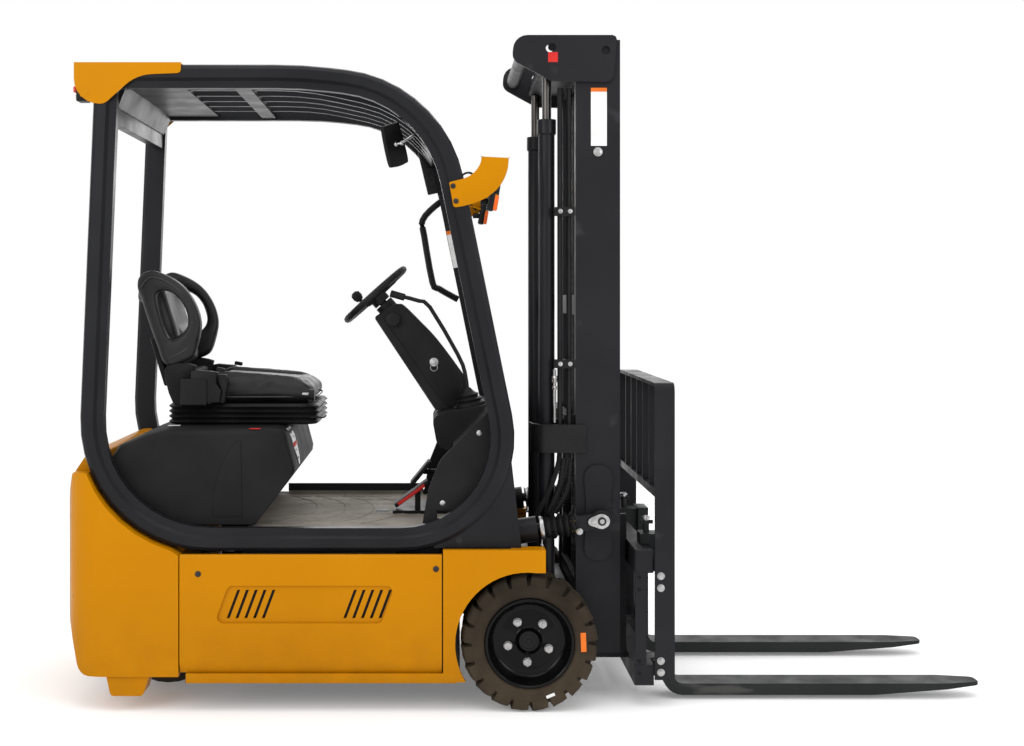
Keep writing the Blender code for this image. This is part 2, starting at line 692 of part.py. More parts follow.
def build_handle_and_mirror():
    route = smooth_route([(-0.262, 0.468, 1.795), (-0.318, 0.462, 1.755), (-0.366, 0.460, 1.700),
                          (-0.360, 0.460, 1.640), (-0.326, 0.460, 1.450), (-0.300, 0.462, 1.425),
                          (-0.224, 0.468, 1.382)], 3)
    bar = bent_bar(route, 0.013, 8)
    tube_room = prism(guard_path(GUARD_DEPTH + FIT), 0.3, 0.6)
    bar = combined(bar, [tube_room], "INTERSECT")
    new_object("grab_handle", bar, "plastic_black")
    glass = box((-0.010, 0.010), (-0.052, 0.052), (-0.074, 0.074), edge=0.008)
    turned = Matrix.Rotation(MIRROR_YAW, 4, "Z") @ Matrix.Rotation(MIRROR_LEAN, 4, "Y")
    glass.transform(Matrix.Translation(MIRROR_CENTRE) @ turned)
    y = MIRROR_CENTRE[1]
    arm = bent_bar([(-0.460, y, 1.914), (-0.415, y, 1.942), (-0.3905, y, 1.9605)], 0.006, 8)
    new_object("rear_view_mirror", combined(glass, [arm]), "plastic_black")


def build_hood_and_seat():
    hinge = joint_empty("hood_hinge_axis", HOOD_HINGE)
    outer = [
        (-1.430, 0.612), (-0.935, 0.612), (-0.803, 0.785), (-0.800, 0.808), (-0.830, 0.920),
        (-0.846, 0.935), (-0.872, 0.940), (-1.223, 0.940), (-1.309, 0.921), (-1.400, 0.885),
        (-1.430, 0.840),
    ]
    shell = prism(outer, -HOOD_HALF, HOOD_HALF)
    round_off(shell, 0.022, lambda edge: min(v.co.z for v in edge.verts) > 0.612)
    inside = [(-1.418, 0.590), (-0.955, 0.590), (-0.818, 0.785), (-0.845, 0.915),
              (-0.870, 0.928), (-1.223, 0.928), (-1.309, 0.908), (-1.390, 0.875),
              (-1.418, 0.830)]
    hollow = prism(inside, -HOOD_HALF + HOOD_WALL, HOOD_HALF - HOOD_WALL)
    new_object("battery_hood", combined(shell, [hollow], "DIFFERENCE"), "plastic_black", hinge)

    low, high = 0.940 + FIT, 1.013
    ribs = 4
    step = (high - low) / ribs
    plan_back, plan_front = -1.270, -0.728
    profile = []
    for k in range(ribs):
        profile += [(0.012, low + step * k), (0.0, low + step * (k + 0.5))]
    profile.append((0.012, high))
    base = bmesh.new()
    rings = []
    for inset, z in profile:
        corner = 0.060 - inset
        plan = rounded([
            (plan_back + inset, -SEAT_HALF + inset, corner, 4),
            (plan_front - inset, -SEAT_HALF + inset, corner, 4),
            (plan_front - inset, SEAT_HALF - inset, corner, 4),
            (plan_back + inset, SEAT_HALF - inset, corner, 4),
        ])
        rings.append([base.verts.new((x, y, z)) for x, y in plan])
    for ring, above in zip(rings, rings[1:]):
        for k in range(len(ring)):
            n = (k + 1) % len(ring)
            base.faces.new((ring[k], ring[n], above[n], above[k]))
    base.faces.new(rings[0])
    base.faces.new(reversed(rings[-1]))
    pan = box((-1.250, -1.170), (-0.215, 0.215), (high - 0.002, 1.075))
    boxes = [box((-1.215, -1.120), (side * 0.262 - 0.020, side * 0.262 + 0.020),
                 (1.010, 1.105), edge=0.006) for side in (-1, 1)]
    ties = [box((-1.215, -1.180), (-0.250, 0.250), (1.008, 1.050))]
    new_object("seat_base", combined(base, [pan] + boxes + ties), "plastic_black", hinge)

    cushion = rounded([
        (-1.163, 1.018, 0.01, 2), (-0.765, 1.018, 0.03, 3), (-0.728, 1.075, 0.025, 3),
        (-0.745, 1.118, 0.025, 3), (-0.850, 1.138, 0, 0), (-1.090, 1.160, 0, 0),
        (-1.163, 1.160, 0.02, 2),
    ])
    pad = prism(cushion, -0.238, 0.238)
    round_off(pad, 0.009, lambda edge: True)
    new_object("seat_cushion", pad, "vinyl", hinge)

    slab = prism(rounded([
        (-1.262, 1.082, 0.01, 2), (-1.180, 1.082, 0.01, 2), (-1.178, 1.165, 0.05, 3),
        (-1.265, 1.420, 0.05, 3), (-1.318, 1.490, 0.02, 3), (-1.380, 1.480, 0.02, 3),
        (-1.345, 1.300, 0, 0), (-1.285, 1.130, 0, 0),
    ]), -0.180, 0.180)
    wing_outer = rounded([
        (-1.285, 1.135, 0.02, 2), (-1.205, 1.132, 0.03, 2), (-1.138, 1.230, 0.05, 4),
        (-1.150, 1.370, 0.09, 4), (-1.270, 1.497, 0.06, 4), (-1.382, 1.490, 0.02, 3),
        (-1.345, 1.300, 0, 0),
    ])
    wing_hole = rounded([
        (-1.262, 1.255, 0.02, 3), (-1.215, 1.215, 0.02, 3), (-1.190, 1.290, 0.02, 3),
        (-1.232, 1.395, 0.02, 3), (-1.300, 1.420, 0.02, 3),
    ])
    wings = []
    for side in (-1, 1):
        wing = prism(wing_outer, side * 0.212 - 0.038, side * 0.212 + 0.038)
        hole = prism(wing_hole, side * 0.222 - 0.040, side * 0.222 + 0.040)
        wings.append(combined(wing, [hole], "DIFFERENCE"))
    new_object("seat_backrest", combined(slab, wings), "vinyl", hinge)


def front_wheel(side):
    hub = joint_empty(side + "_front_wheel_axis", (0, 0, AXLE_Z))
    sign = -1 if side == "right" else 1
    inner, width = WHEEL_OUTER_Y - WHEEL_WIDTH, WHEEL_WIDTH
    start = (0, sign * inner, AXLE_Z)
    along = (0, sign, 0)
    tyre = turned([
        (RIM_RADIUS, 0.014), (0.178, 0.002), (0.205, 0.000), (WHEEL_RADIUS, 0.022),
        (WHEEL_RADIUS, width - 0.022), (0.205, width), (0.178, width - 0.002),
        (RIM_RADIUS, width - 0.014),
    ], start, along, 40)
    new_object(side + "_front_tyre", tyre, "rubber", hub)
    skin = RIM_RADIUS - 0.0012
    disc = turned([
        (0.048, 0.012), (0.132, 0.010), (skin, 0.006), (skin, width - 0.008),
        (skin - 0.008, width - 0.006), (0.132, width - 0.020), (0.126, width - 0.060),
        (0.110, width - 0.068), (0.045, width - 0.064), (0.033, width - 0.036),
        (0, width - 0.036), (0, 0.060), (0.048, 0.060),
    ], start, along, 28)
    new_object(side + "_front_rim", disc, "rim_black", hub)


def build_rear_wheels():
    steer = joint_empty("rear_steer_axis", (STEER_X, 0, REAR_RADIUS))
    low = REAR_GAP / 2
    centre = (STEER_X, 0, REAR_RADIUS)
    web = prism(rounded([
        (STEER_X - 0.060, REAR_RADIUS - 0.055, 0.05, 5), (STEER_X + 0.060, REAR_RADIUS - 0.055,
                                                          0.05, 5),
        (STEER_X + 0.085, 0.400, 0, 0), (STEER_X - 0.085, 0.400, 0, 0),
    ]), -0.017, 0.017)
    ring = rod((STEER_X, 0, 0.392), (STEER_X, 0, 0.440), 0.135, 40)
    king_pin = rod((STEER_X, 0, 0.430), (STEER_X, 0, 0.545), 0.037, 24)
    yoke = combined(web, [ring, king_pin])
    bore = rod((STEER_X, -0.1, REAR_RADIUS), (STEER_X, 0.1, REAR_RADIUS), 0.028, 24)
    new_object("rear_steer_yoke", combined(yoke, [bore], "DIFFERENCE"), "frame_black", steer)
    hub = joint_empty("rear_wheel_axis", centre)
    outer = low + REAR_WIDTH
    spindle = turned([
        (0, -outer + 0.030), (0.040, -outer + 0.030), (0.050, -outer + 0.020),
        (0.095, -outer + 0.016), (0.1086, -outer + 0.006), (0.1086, -low - 0.004),
        (0.095, -low - 0.004), (0.095, -low - 0.030), (0.024, -low - 0.030),
        (0.024, low + 0.030), (0.095, low + 0.030), (0.095, low + 0.004),
        (0.1086, low + 0.004), (0.1086, outer - 0.006), (0.095, outer - 0.016),
        (0.050, outer - 0.020), (0.040, outer - 0.030), (0, outer - 0.030),
    ], centre, (0, 1, 0), 20)
    new_object("rear_wheel_hub", spindle, "rim_black", hub)
    for side, sign in (("right", -1), ("left", 1)):
        tyre = turned([
            (0.110, 0.004), (0.172, 0.0), (REAR_RADIUS, 0.016),
            (REAR_RADIUS, REAR_WIDTH - 0.016), (0.172, REAR_WIDTH), (0.110, REAR_WIDTH - 0.004),
        ], (STEER_X, sign * low, REAR_RADIUS), (0, sign, 0), 32)
        new_object(side + "_rear_tyre", tyre, "rubber", hub)


def channel(side, back, front, outer_y, depth, web, flange, base, top):
    """A mast rail: a channel on one side, open towards the middle."""
    y = [side * outer_y, side * (outer_y - web), side * (outer_y - depth)]
    outline = [(back, y[0]), (front, y[0]), (front, y[2]), (front - flange, y[2]),
               (front - flange, y[1]), (back + flange, y[1]), (back + flange, y[2]),
               (back, y[2])]
    return prism(outline, base, top, "Z")


def build_outer_mast(tilt):
    base = channel(-1, RAIL_BACK, RAIL_FRONT, RAIL_OUTER_Y, 0.055, 0.014, 0.018,
                   RAIL_BASE, RAIL_TOP)
    pieces = [channel(1, RAIL_BACK, RAIL_FRONT, RAIL_OUTER_Y, 0.055, 0.014, 0.018,
                      RAIL_BASE, RAIL_TOP)]
    for low, high, half in ((0.195, 0.345, 0.350), (0.900, 0.980, 0.318)):
        pieces.append(box((0.134, 0.166), (-half, half), (low, high)))
        pieces += [box((0.160, RAIL_BACK + 0.001), (side * (half + 0.302) / 2 - (half - 0.302) / 2,
                                                    side * (half + 0.302) / 2 + (half - 0.302) / 2),
                       (low, high)) for side in (-1, 1)]
    head = rounded([
        (0.300, 2.136, 0.03, 3), (0.085, 2.141, 0, 0), (0.008, 2.182, 0, 0),
        (-0.050, 2.215, 0.035, 4), (-0.044, 2.300, 0.050, 5), (0.314, 2.300, 0.015, 2),
    ])
    eye_hole = rod((0.080, -0.5, 2.254), (0.080, 0.5, 2.254), 0.014, 12)
    lift_hole = rod((0.274, -0.5, 2.247), (0.274, 0.5, 2.247), 0.015, 12)
    for side in (-1, 1):
        plate = prism(head, side * (RAIL_OUTER_Y + 0.006) - 0.0065,
                      side * (RAIL_OUTER_Y + 0.006) + 0.0065)
        pieces.append(combined(plate, [eye_hole.copy(), lift_hole.copy()], "DIFFERENCE"))
    eye_hole.free()
    lift_hole.free()
    pieces.append(rod((-0.008, -0.360, 2.238), (-0.008, 0.360, 2.238), 0.026, 16))
    pivot_x, _, pivot_z = MAST_PIVOT
    for side in (-1, 1):
        foot = rounded([
            (0.168, 0.200, 0, 0), (0.168, 0.290, 0, 0), (0.130, 0.290, 0, 0),
            (pivot_x - 0.034, pivot_z + 0.036, 0.03, 4), (pivot_x - 0.034, pivot_z - 0.034,
                                                          0.030, 4),
            (pivot_x + 0.040, pivot_z - 0.034, 0.02, 3),
        ])
        ear = prism(foot, side * 0.282 - 0.014, side * 0.282 + 0.014)
        bore = rod((pivot_x, -0.5, pivot_z), (pivot_x, 0.5, pivot_z), 0.0215, 16)
        pieces.append(combined(ear, [bore], "DIFFERENCE"))
        boss = rounded([
            (0.200, 0.530, 0, 0), (0.195, 0.480, 0.04, 3), (0.300, 0.480, 0.04, 3),
            (0.296, 0.530, 0, 0), (0.290, 0.680, 0, 0), (0.302, 0.810, 0.04, 3),
            (0.196, 0.810, 0.04, 3), (0.206, 0.680, 0, 0),
        ])
        face = side * (RAIL_OUTER_Y + 0.005)
        pieces.append(prism(boss, face - 0.006, face + 0.006))
        pieces.append(rod((TILT_EYE.x, side * RAIL_OUTER_Y, TILT_EYE.z),
                          (TILT_EYE.x, side * 0.430, TILT_EYE.z), 0.0150, 20))
        pieces.append(box((LIFT_X - 0.036, 0.150), (side * LIFT_Y - 0.034, side * LIFT_Y + 0.034),
                          (0.320, LIFT_BASE - FIT)))
    new_object("outer_mast", combined(base, pieces), "frame_black", tilt)


def lift_cylinder():
    y = -LIFT_Y
    length = LIFT_TOP - LIFT_BASE
    barrel = turned([
        (0, 0), (LIFT_RADIUS, 0), (LIFT_RADIUS, length - 0.055),
        (LIFT_RADIUS + 0.005, length - 0.050), (LIFT_RADIUS + 0.005, length), (0.0195, length),
        (0.0195, 0.040), (0, 0.040),
    ], (LIFT_X, y, LIFT_BASE), (0, 0, 1), 20)
    strap = box((LIFT_X + 0.024, 0.1335), (y - 0.012, y + 0.012), (0.915, 0.965))
    return combined(barrel, [strap])


def lift_rod():
    return rod((LIFT_X, -LIFT_Y, LIFT_BASE + 0.046), (LIFT_X, -LIFT_Y, 2.1795), 0.016, 16)


def build_hoses(tilt):
    pieces = []
    base = None
    for k, x in enumerate((0.118, 0.150)):
        y = -0.333
        route = [(x, y, 2.120), (x, y, 0.930)]
        route += smooth_route([(x, y, 0.900), (x - 0.004, y, 0.820), (x - 0.028, y, 0.740),
                               (x - 0.060 + 0.010 * k, y, 0.672),
                               (x - 0.080 + 0.014 * k, y, 0.630)], 2)
        hose = bent_bar(route, 0.0095, 6)
        if base is None:
            base = hose
        else:
            pieces.append(hose)
    for z in (1.160, 1.690):
        pieces.append(box((0.100, 0.168), (-0.354, -0.318), (z - 0.015, z + 0.015)))
    guard = [(0.205, -0.3555), (0.205, -0.3640), (0.070, -0.3640), (0.042, -0.3500),
             (0.020, -0.3150), (0.014, -0.2400), (0.021, -0.2400), (0.028, -0.3100),
             (0.048, -0.3420), (0.074, -0.3558)]
    pieces.append(prism(guard, 0.852, 0.950, "Z"))
    pieces.append(box((0.090, 0.165), (-0.357, -0.326), (0.895, 0.905)))
    new_object("mast_hoses", combined(base, pieces), "plastic_black", tilt)


def build_inner_mast(tilt):
    low, high = 0.170, 2.250
    rails = [channel(side, 0.178, 0.318, INNER_OUTER_Y, 0.056, 0.014, 0.017, low, high)
             for side in (-1, 1)]
    pieces = [rails[1]]
    for z in (0.260, 2.165):
        for side in (-1, 1):
            x = 0.248
            pieces.append(rod((x, side * 0.280, z), (x, side * 0.334, z), 0.052, 16))
    pieces.append(box((0.050, 0.165), (-0.322, 0.322), (2.180, 2.215)))
    pieces.append(box((0.160, 0.179), (-0.290, 0.290), (2.180, 2.215)))
    pieces.append(box((0.176, 0.196), (-0.285, 0.285), (2.150, 2.245)))
    for z in (0.330, 1.330):
        pieces.append(box((0.1745, 0.193), (-0.285, 0.285), (z, z + 0.070)))
    for side in (-1, 1):
        pieces.append(rod((0.248, side * 0.085, 2.170), (0.248, side * 0.125, 2.170), 0.038, 20))
        pieces.append(box((0.190, 0.262), (side * 0.140 - 0.006, side * 0.140 + 0.006),
                          (2.150, 2.230)))
        pieces.append(rod((0.248, side * 0.080, 2.170), (0.248, side * 0.145, 2.170), 0.012, 10))
    new_object("inner_mast", combined(rails[0], pieces), "frame_black", tilt)


def build_carriage(tilt):
    upper = box((BAR_BACK, BAR_FRONT), (-BAR_HALF, BAR_HALF), (0.455, 0.533), edge=0.004,
                segments=1)
    pieces = [box((BAR_BACK, BAR_FRONT), (-BAR_HALF, BAR_HALF), (0.075, 0.145))]
    for side in (-1, 1):
        pieces.append(box((BAR_BACK + 0.002, BAR_FRONT - 0.025),
                          (side * 0.462 - 0.008, side * 0.462 + 0.008), (0.080, 0.460)))
        pieces.append(box((0.205, BAR_BACK + 0.004), (side * 0.210 - 0.012, side * 0.210 + 0.012),
                          (0.110, 0.620)))
        for z in (0.180, 0.550):
            pieces.append(rod((0.248, side * 0.215, z), (0.248, side * 0.270, z), 0.047, 16))
        pieces.append(box((0.240, 0.300), (side * 0.105 - 0.02, side * 0.105 + 0.02),
                          (0.470, 0.520)))
    pieces.append(box((0.285, 0.304), (-0.205, 0.205), (0.440, 0.530)))
    pieces.append(box((0.285, 0.304), (-0.205, 0.205), (0.120, 0.200)))
    new_object("fork_carriage", combined(upper, pieces), "frame_black", tilt)


def build_load_backrest(tilt):
    back, front = 0.427, 0.494
    outer, inner = 0.484, 0.4722
    top, low = 1.101, 0.096
    frame = rounded([(-outer, low, 0, 0), (-outer, top, 0.030, 4), (outer, top, 0.030, 4),
                     (outer, low, 0, 0), (inner, low, 0, 0), (inner, top - 0.012, 0.020, 4),
                     (-inner, top - 0.012, 0.020, 4), (-inner, low, 0, 0)])
    hoop = prism(frame, back, front, "X")
    pieces = [box((0.430, 0.460), (-0.476, 0.476), (0.712, 0.738))]
    for k in range(5):
        y = (k - 2) * 0.157
        pieces.append(box((0.431, 0.459), (y - 0.005, y + 0.005), (0.720, top - 0.006)))
    for side in (-1, 1):
        for z in (0.135, 0.485):
            pieces.append(box((BAR_FRONT + FIT, 0.470), (side * 0.460 - 0.016,
                                                         side * 0.460 + 0.016),
                              (z - 0.022, z + 0.022)))
    new_object("load_backrest", combined(hoop, pieces), "frame_black", tilt)


def fork():
    y = -FORK_CENTRE_Y
    back = FORK_FACE - FORK_THICK
    base = FORK_TOP_Z - FORK_THICK
    outline = rounded([
        (back, 0.575, 0, 0), (back, base, 0.070, 6), (1.200, base, 0, 0),
        (FORK_TIP, FORK_TOP_Z - 0.012, 0, 0), (FORK_TIP, FORK_TOP_Z, 0, 0),
        (FORK_FACE, FORK_TOP_Z, 0.030, 4), (FORK_FACE, 0.575, 0, 0),
    ])
    blade = prism(outline, y - FORK_HALF_WIDTH, y + FORK_HALF_WIDTH)
    taper = 0.120
    tip_half = 0.035
    plan = rounded([
        (0.0, y - 0.1, 0, 0), (FORK_TIP - taper, y - 0.1, 0, 0),
        (FORK_TIP - taper, y - FORK_HALF_WIDTH, 0, 0), (FORK_TIP, y - tip_half, 0.02, 3),
        (FORK_TIP, y + tip_half, 0.02, 3), (FORK_TIP - taper, y + FORK_HALF_WIDTH, 0, 0),
        (FORK_TIP - taper, y + 0.1, 0, 0), (0.0, y + 0.1, 0, 0),
    ])
    blade = combined(blade, [prism(plan, -0.1, 0.7, "Z")], "INTERSECT")
    hooks = []
    hooks.append(box((BAR_FRONT - 0.030, back + 0.001), (y - 0.045, y + 0.045), (0.5335, 0.570)))
    hooks.append(box((BAR_FRONT + FIT, back + 0.001), (y - 0.045, y + 0.045), (0.440, 0.550)))
    hooks.append(box((BAR_FRONT + FIT, back + 0.001), (y - 0.045, y + 0.045), (0.078, 0.140)))
    hooks.append(rod((BAR_FRONT - 0.004, y, 0.560), (BAR_FRONT - 0.004, y, 0.612), 0.011, 16))
    hooks.append(box((BAR_FRONT - 0.022, BAR_FRONT + 0.020), (y - 0.007, y + 0.007),
                     (0.600, 0.612)))
    return combined(blade, hooks)


def along_tilt(distance, side):
    """A point on a tilt cylinder's axis, measured from its rear pivot."""
    direction = (TILT_EYE - TILT_REAR).normalized()
    point = TILT_REAR + direction * distance
    return Vector((point.x, side * TILT_Y, point.z))


def build_tilt_cylinders(tilt):
    reach = (TILT_EYE - TILT_REAR).length
    for name, side in (("right", -1), ("left", 1)):
        rear = joint_empty(name + "_tilt_cylinder_axis", along_tilt(0, side))
        along = along_tilt(1, side) - along_tilt(0, side)
        barrel = turned([
            (0, 0.030), (0.044, 0.030), (0.044, 0.285), (0.0215, 0.285), (0.0215, 0.080),
            (0, 0.080),
        ], along_tilt(0, side), along, 20)
        tang = rod(along_tilt(0, side) - Vector((0, 0.020, 0)),
                   along_tilt(0, side) + Vector((0, 0.020, 0)), 0.031, 20)
        neck = rod(along_tilt(0.015, side), along_tilt(0.040, side), 0.019, 16)
        pin_bore = rod(along_tilt(0, side) - Vector((0, 0.1, 0)),
                       along_tilt(0, side) + Vector((0, 0.1, 0)), TILT_PIN + 0.001, 16)
        cylinder = combined(combined(barrel, [tang, neck]), [pin_bore], "DIFFERENCE")
        new_object(name + "_tilt_cylinder", cylinder, "frame_black", rear)
        shaft = rod(along_tilt(0.140, side), along_tilt(reach - 0.025, side), 0.0175, 20)
        eye = rod(along_tilt(reach, side) - Vector((0, 0.022, 0)),
                  along_tilt(reach, side) + Vector((0, 0.022, 0)), 0.036, 28)
        block = box((-0.0997, -0.020), (-0.022, 0.022), (-0.026, 0.026))
        lean = atan2(TILT_EYE.z - TILT_REAR.z, TILT_EYE.x - TILT_REAR.x)
        block.transform(Matrix.Translation(along_tilt(reach, side))
                        @ Matrix.Rotation(-lean, 4, "Y"))
        bore = rod(along_tilt(reach, side) - Vector((0, 0.1, 0)),
                   along_tilt(reach, side) + Vector((0, 0.1, 0)), 0.0190, 24)
        rod_body = combined(combined(shaft, [eye, block]), [bore], "DIFFERENCE")
        new_object(name + "_tilt_rod", rod_body, "steel", tilt)
        ribs = []
        start, end = 0.300, reach - 0.100
        count = 3
        for k in range(count):
            step = (end - start) / count
            ribs += [(0.0510, start + step * k), (0.0560, start + step * (k + 0.5))]
        profile = ribs + [(0.044, end), (0.0178, end), (0.0178, end - 0.008),
                          (0.0475, end - 0.008), (0.0475, start)]
        boot = turned(profile, along_tilt(0, side), along, 18)
        new_object(name + "_tilt_boot", boot, "rubber", tilt)


def clear_scene():
    for obj in list(bpy.data.objects):
        bpy.data.objects.remove(obj)


def build():
    clear_scene()
    build_chassis()
    build_counterweight()
    both_sides("side_panel", side_panel, "yellow")
    both_sides("front_fender", front_fender, "yellow")
    build_drive_axle()
    build_battery()
    build_floor_mat()
    build_dash()
    build_steering_column()
    build_steering_wheel()
    build_lever_and_pedal()
    both_sides("guard_frame", guard_frame, "frame_black")
    build_roof()
    both_sides("roof_cap", roof_cap, "yellow")
    both_sides("front_light", front_light, "yellow")
    build_handle_and_mirror()
    build_hood_and_seat()
    for side in ("right", "left"):
        front_wheel(side)
    build_rear_wheels()
    tilt = joint_empty("mast_tilt_axis", MAST_PIVOT)
    build_outer_mast(tilt)
    both_sides("lift_cylinder", lift_cylinder, "frame_black", (tilt, tilt))
    both_sides("lift_rod", lift_rod, "steel", (tilt, tilt))
    build_hoses(tilt)
    build_inner_mast(tilt)
    build_carriage(tilt)
    build_load_backrest(tilt)
    both_sides("fork", fork, "frame_black", (tilt, tilt))
    build_tilt_cylinders(tilt)


build()
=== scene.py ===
from math import cos, pi, radians, sin

import bmesh
import bpy
from mathutils import Matrix, Vector


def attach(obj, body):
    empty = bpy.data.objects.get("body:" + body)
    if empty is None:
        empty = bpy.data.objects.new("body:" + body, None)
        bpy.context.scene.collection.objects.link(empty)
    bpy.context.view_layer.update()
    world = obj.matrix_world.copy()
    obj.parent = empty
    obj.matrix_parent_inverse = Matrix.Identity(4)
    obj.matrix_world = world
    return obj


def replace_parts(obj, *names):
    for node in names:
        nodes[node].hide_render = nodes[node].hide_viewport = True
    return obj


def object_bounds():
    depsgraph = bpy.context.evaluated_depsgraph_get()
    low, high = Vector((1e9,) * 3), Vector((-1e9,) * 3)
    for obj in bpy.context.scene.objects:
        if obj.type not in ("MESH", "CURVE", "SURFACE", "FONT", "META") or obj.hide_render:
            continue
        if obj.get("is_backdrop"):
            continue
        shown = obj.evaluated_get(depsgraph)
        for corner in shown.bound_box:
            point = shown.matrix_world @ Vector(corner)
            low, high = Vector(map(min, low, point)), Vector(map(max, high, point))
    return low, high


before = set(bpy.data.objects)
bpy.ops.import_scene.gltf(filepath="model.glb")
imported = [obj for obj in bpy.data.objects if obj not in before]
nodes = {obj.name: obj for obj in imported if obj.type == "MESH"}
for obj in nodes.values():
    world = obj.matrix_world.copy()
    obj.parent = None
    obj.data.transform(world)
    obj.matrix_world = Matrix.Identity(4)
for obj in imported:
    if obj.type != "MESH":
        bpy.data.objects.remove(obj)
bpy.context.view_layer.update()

scene = bpy.context.scene

# Camera and lights
camera = {"place": (-0.3264, -5.5299, 1.3952), "lens": 52.42, "shift": (0.0777, -0.0750)}
eye = bpy.data.objects.new("camera", bpy.data.cameras.new("camera"))
eye.location = camera["place"]
eye.rotation_euler = (radians(90), 0, 0)
eye.data.lens = camera["lens"]
eye.data.sensor_width = 36
eye.data.shift_x, eye.data.shift_y = camera["shift"]
scene.collection.objects.link(eye)
scene.camera = eye
scene.view_settings.view_transform = "Standard"

lights = {
    "overhead": {"at": (-0.2, -1.2, 4.6), "aim": (0, 0, 0.8), "size": 4.0, "power": 70},
    "frontLeft": {"at": (-3.6, -4.2, 2.6), "aim": (-0.4, 0, 0.9), "size": 2.4, "power": 55},
    "frontRight": {"at": (3.2, -4.0, 2.4), "aim": (0.2, 0, 0.8), "size": 2.0, "power": 40},
    "behind": {"at": (0.0, 4.2, 3.2), "aim": (0, 0, 1.0), "size": 3.0, "power": 50},
}
for name, light in lights.items():
    lamp = bpy.data.lights.new(name, "AREA")
    lamp.size = light["size"]
    lamp.energy = light["power"]
    holder = bpy.data.objects.new(name, lamp)
    holder.location = light["at"]
    gaze = Vector(light["aim"]) - Vector(light["at"])
    holder.rotation_euler = gaze.to_track_quat("-Z", "Y").to_euler()
    scene.collection.objects.link(holder)

world = bpy.data.worlds.new("studio")
world.use_nodes = True
sky = world.node_tree.nodes["Background"]
sky.inputs["Color"].default_value = (1, 1, 1, 1)
sky.inputs["Strength"].default_value = 1.0
scene.world = world
print("camera and lights done")


# Finishes: one node tree per look, in the object's own coordinates
def link(tree, out, into):
    tree.links.new(out, into)


def addNode(tree, kind, **values):
    made = tree.nodes.new(kind)
    for name, value in values.items():
        setattr(made, name, value)
    return made


def noiseOn(tree, coords, scale, detail=4.0, stretch=None):
    source = coords
    if stretch:
        mapping = addNode(tree, "ShaderNodeMapping")
        mapping.inputs["Scale"].default_value = stretch
        link(tree, coords, mapping.inputs["Vector"])
        source = mapping.outputs["Vector"]
    noise = addNode(tree, "ShaderNodeTexNoise")
    noise.inputs["Scale"].default_value = scale
    noise.inputs["Detail"].default_value = detail
    link(tree, source, noise.inputs["Vector"])
    return noise.outputs["Fac"]


def spread(tree, value, low, high, fromLow=0.3, fromHigh=0.7):
    ranged = addNode(tree, "ShaderNodeMapRange")
    ranged.inputs["From Min"].default_value = fromLow
    ranged.inputs["From Max"].default_value = fromHigh
    ranged.inputs["To Min"].default_value = low
    ranged.inputs["To Max"].default_value = high
    link(tree, value, ranged.inputs["Value"])
    return ranged.outputs["Result"]


def blendTone(tree, factor, first, second):
    mix = addNode(tree, "ShaderNodeMix", data_type="RGBA")
    link(tree, factor, mix.inputs["Factor"])
    for value, socket in ((first, mix.inputs[6]), (second, mix.inputs[7])):
        if isinstance(value, tuple):
            socket.default_value = (*value, 1)
        else:
            link(tree, value, socket)
    return mix.outputs[2]


